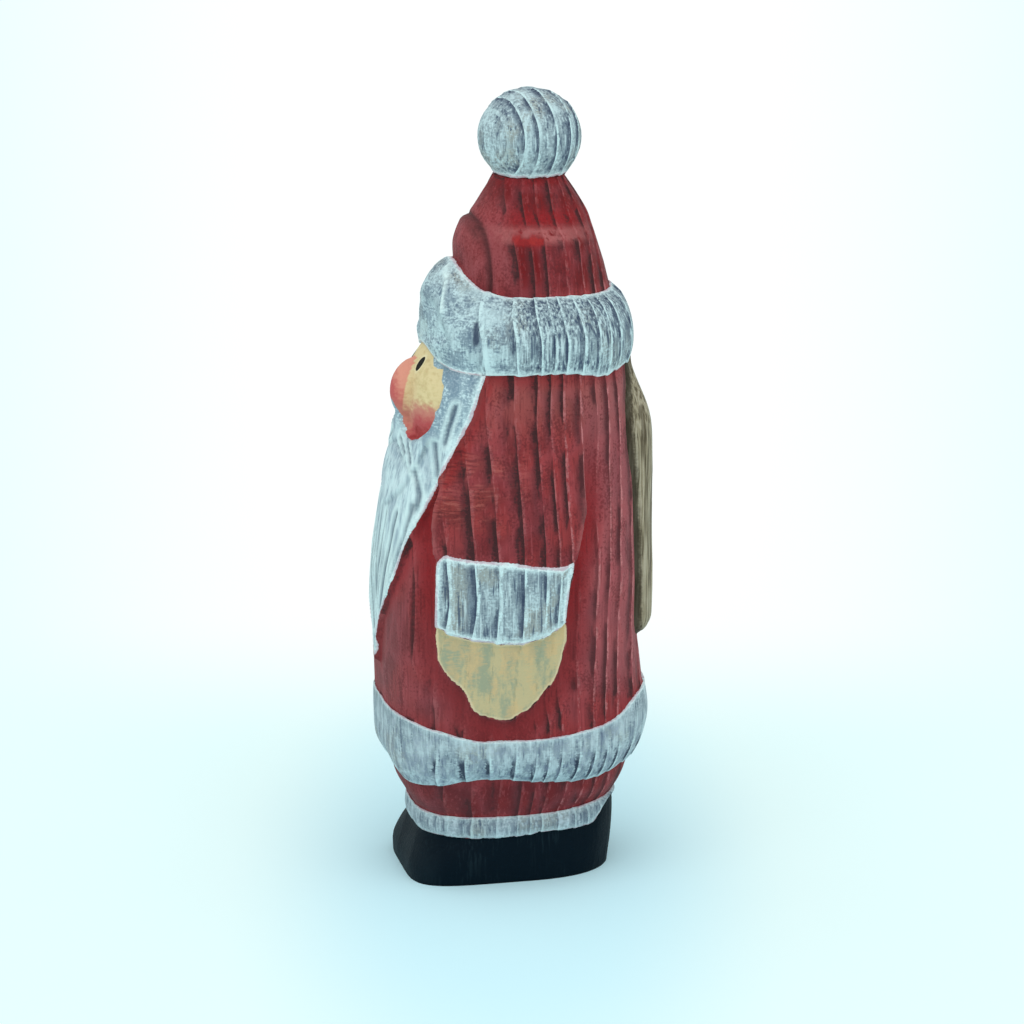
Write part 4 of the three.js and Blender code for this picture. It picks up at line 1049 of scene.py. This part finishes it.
def black_paint():
    """Black with a green cast, worn a little grey along the grain's threads; painted highlight on the
    toes.
    """
    return coats(
        "#01101A",
        ("#18282F", ramp(threads, 0.5, 0.66), ramp(clouds, 0.4, 0.6), 0.6),
        # Painted highlight on the fronts of the toes.
        ("#243238", ramp(backward, -12.5, -15.5), ramp(clouds, 0.62, 0.4), 0.22))


def olive_paint():
    """Earth brown over the sack, dark in its grooves, with painted shade where it meets the coat."""
    return coats(
        "#938871",
        ("#ABA18C", ramp(threads, 0.48, 0.6)),
        ("#564C3B", ramp(threads, 0.47, 0.38), 0.8),
        ("#4A4031", ramp(mottle(1.2, detail=2.0, upright=14.0, seed=99), 0.52, 0.62), 0.6),
        # Painted shade along the sack's edge, in the groove where it meets the coat.
        ("#332C22", ragged_ramp(olive, 1.5, 2.4, 1.3), 0.85))


white_on, black_on = area(white), area(black)
colour = coats(
    red_paint(),
    (white_paint(), white_on),
    (olive_paint(), area(olive)),
    (cream_paint(), area(cream)),
    (skin_paint(), area(skin_area)),
    (black_paint(), black_on))
roughness = total((grit, 0.2), (black_on, -0.1), (1.0, 0.6))
brush_marks = total((times(scratches, scratched), 1.5), (grit, 0.8), (hatch, 0.6), (strokes, 0.6),
                    (white_on, 0.6), (threads, 0.4))
bump = add("ShaderNodeBump", {"Height": brush_marks, "Strength": 0.7, "Distance": 0.12 * MM})
sheen = times(total((1.0, 1.0), (black_on, -1.0)), 0.04)
shader = add("ShaderNodeBsdfPrincipled", {
    "Base Color": colour, "Roughness": roughness, "Normal": bump, "Specular IOR Level": 0.07,
    "Sheen Weight": sheen, "Sheen Roughness": 0.6})
add("ShaderNodeOutputMaterial", {"Surface": shader})

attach(carving, "root")
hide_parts("carved_santa")

# Floor and light
# A sheet of white paper in a light box, lit evenly from all round with a soft lamp above. A faint
# blue shadow is painted on the paper around the figure, more in front than behind. The camera
# stands 77 degrees from the front, and the paper is painted lighter behind the figure in its view.
FLOOR_HALF_WIDTH = 6.0
CAMERA_TURN = 77.2
CAMERA_AWAY = 0.540
SHADE_FADES = (0.016, 0.045)
WHITE_BEHIND = (0.05, 0.14)
WHITE_WITHIN = (0.18, 0.05)
LAMP_POWER = 0.8
LAMP_SPREAD = 70
LAMP_TILT = (8, 32)
turned = math.radians(CAMERA_TURN)
TO_THE_RIGHT = (math.cos(turned), math.sin(turned), 0)
TO_THE_BACK = (-math.sin(turned), math.cos(turned), 0)

floor_mesh = bpy.data.meshes.new("floor")
corners = np.array([(-1, -1, 0), (1, -1, 0), (1, 1, 0), (-1, 1, 0)]) * FLOOR_HALF_WIDTH
floor_mesh.from_pydata(corners.tolist(), [], [(0, 1, 2, 3)])
floor = bpy.data.objects.new("floor", floor_mesh)
bpy.context.scene.collection.objects.link(floor)

paper = bpy.data.materials.new("white paper")
paper.use_nodes = True
tree = paper.node_tree
tree.nodes.clear()
floor_place = add("ShaderNodeTexCoord").outputs["Object"]
aside = vectors("DOT_PRODUCT", floor_place, TO_THE_RIGHT)
behind = vectors("DOT_PRODUCT", floor_place, TO_THE_BACK)
shadow_place = add("ShaderNodeCombineXYZ", {"X": aside, "Y": times(behind, 1 / 3)})
shadow_out = vectors("LENGTH", shadow_place)
from_axis = maths("DIVIDE", aside, total((behind, 1.0), (1.0, CAMERA_AWAY)))
from_axis = maths("ABSOLUTE", from_axis)
# Painted shadow by the figure, the paper's pale blue beyond, and painted light behind it in view.
colour = coats(
    "#D2F6FF",
    ("#E8FEFE", ramp(shadow_out, *SHADE_FADES)),
    ("#FEFEFE", ramp(behind, *WHITE_BEHIND), ramp(from_axis, *WHITE_WITHIN)))
paper_shader = add("ShaderNodeBsdfDiffuse", {"Color": colour})
add("ShaderNodeOutputMaterial", {"Surface": paper_shader})
floor_mesh.materials.append(paper)

world = bpy.data.worlds.new("light box")
world.use_nodes = True
tree = world.node_tree
tree.nodes.clear()
glow = add("ShaderNodeBackground", {"Color": paint("#FAFFFF"), "Strength": 0.85})
add("ShaderNodeOutputWorld", {"Surface": glow})
bpy.context.scene.world = world

lamp_light = bpy.data.lights.new("lamp above", "SUN")
lamp_light.energy = LAMP_POWER
lamp_light.angle = math.radians(LAMP_SPREAD)
lamp = bpy.data.objects.new("lamp above", lamp_light)
lamp.rotation_euler = (math.radians(LAMP_TILT[0]), math.radians(LAMP_TILT[1]), 0)
bpy.context.scene.collection.objects.link(lamp)
bpy.context.scene.view_settings.view_transform = "Standard"

# Camera
# A long lens a little above the figure, at its left side and turned a little to the face.
CAMERA_HEIGHT = 0.1922
AIM_HEIGHT = 0.05483
AIM_SIDE = 0.0003
LENS = 129.4
camera_data = bpy.data.cameras.new("camera")
camera_data.lens = LENS
camera = bpy.data.objects.new("camera", camera_data)
camera.location = (math.sin(turned) * CAMERA_AWAY, -math.cos(turned) * CAMERA_AWAY, CAMERA_HEIGHT)
aim = np.array(TO_THE_RIGHT) * AIM_SIDE + (0, 0, AIM_HEIGHT) - np.array(camera.location)
camera.rotation_euler = (math.atan2(math.hypot(aim[0], aim[1]), -aim[2]), 0, math.atan2(-aim[0], aim[1]))
bpy.context.scene.collection.objects.link(camera)
bpy.context.scene.camera = camera
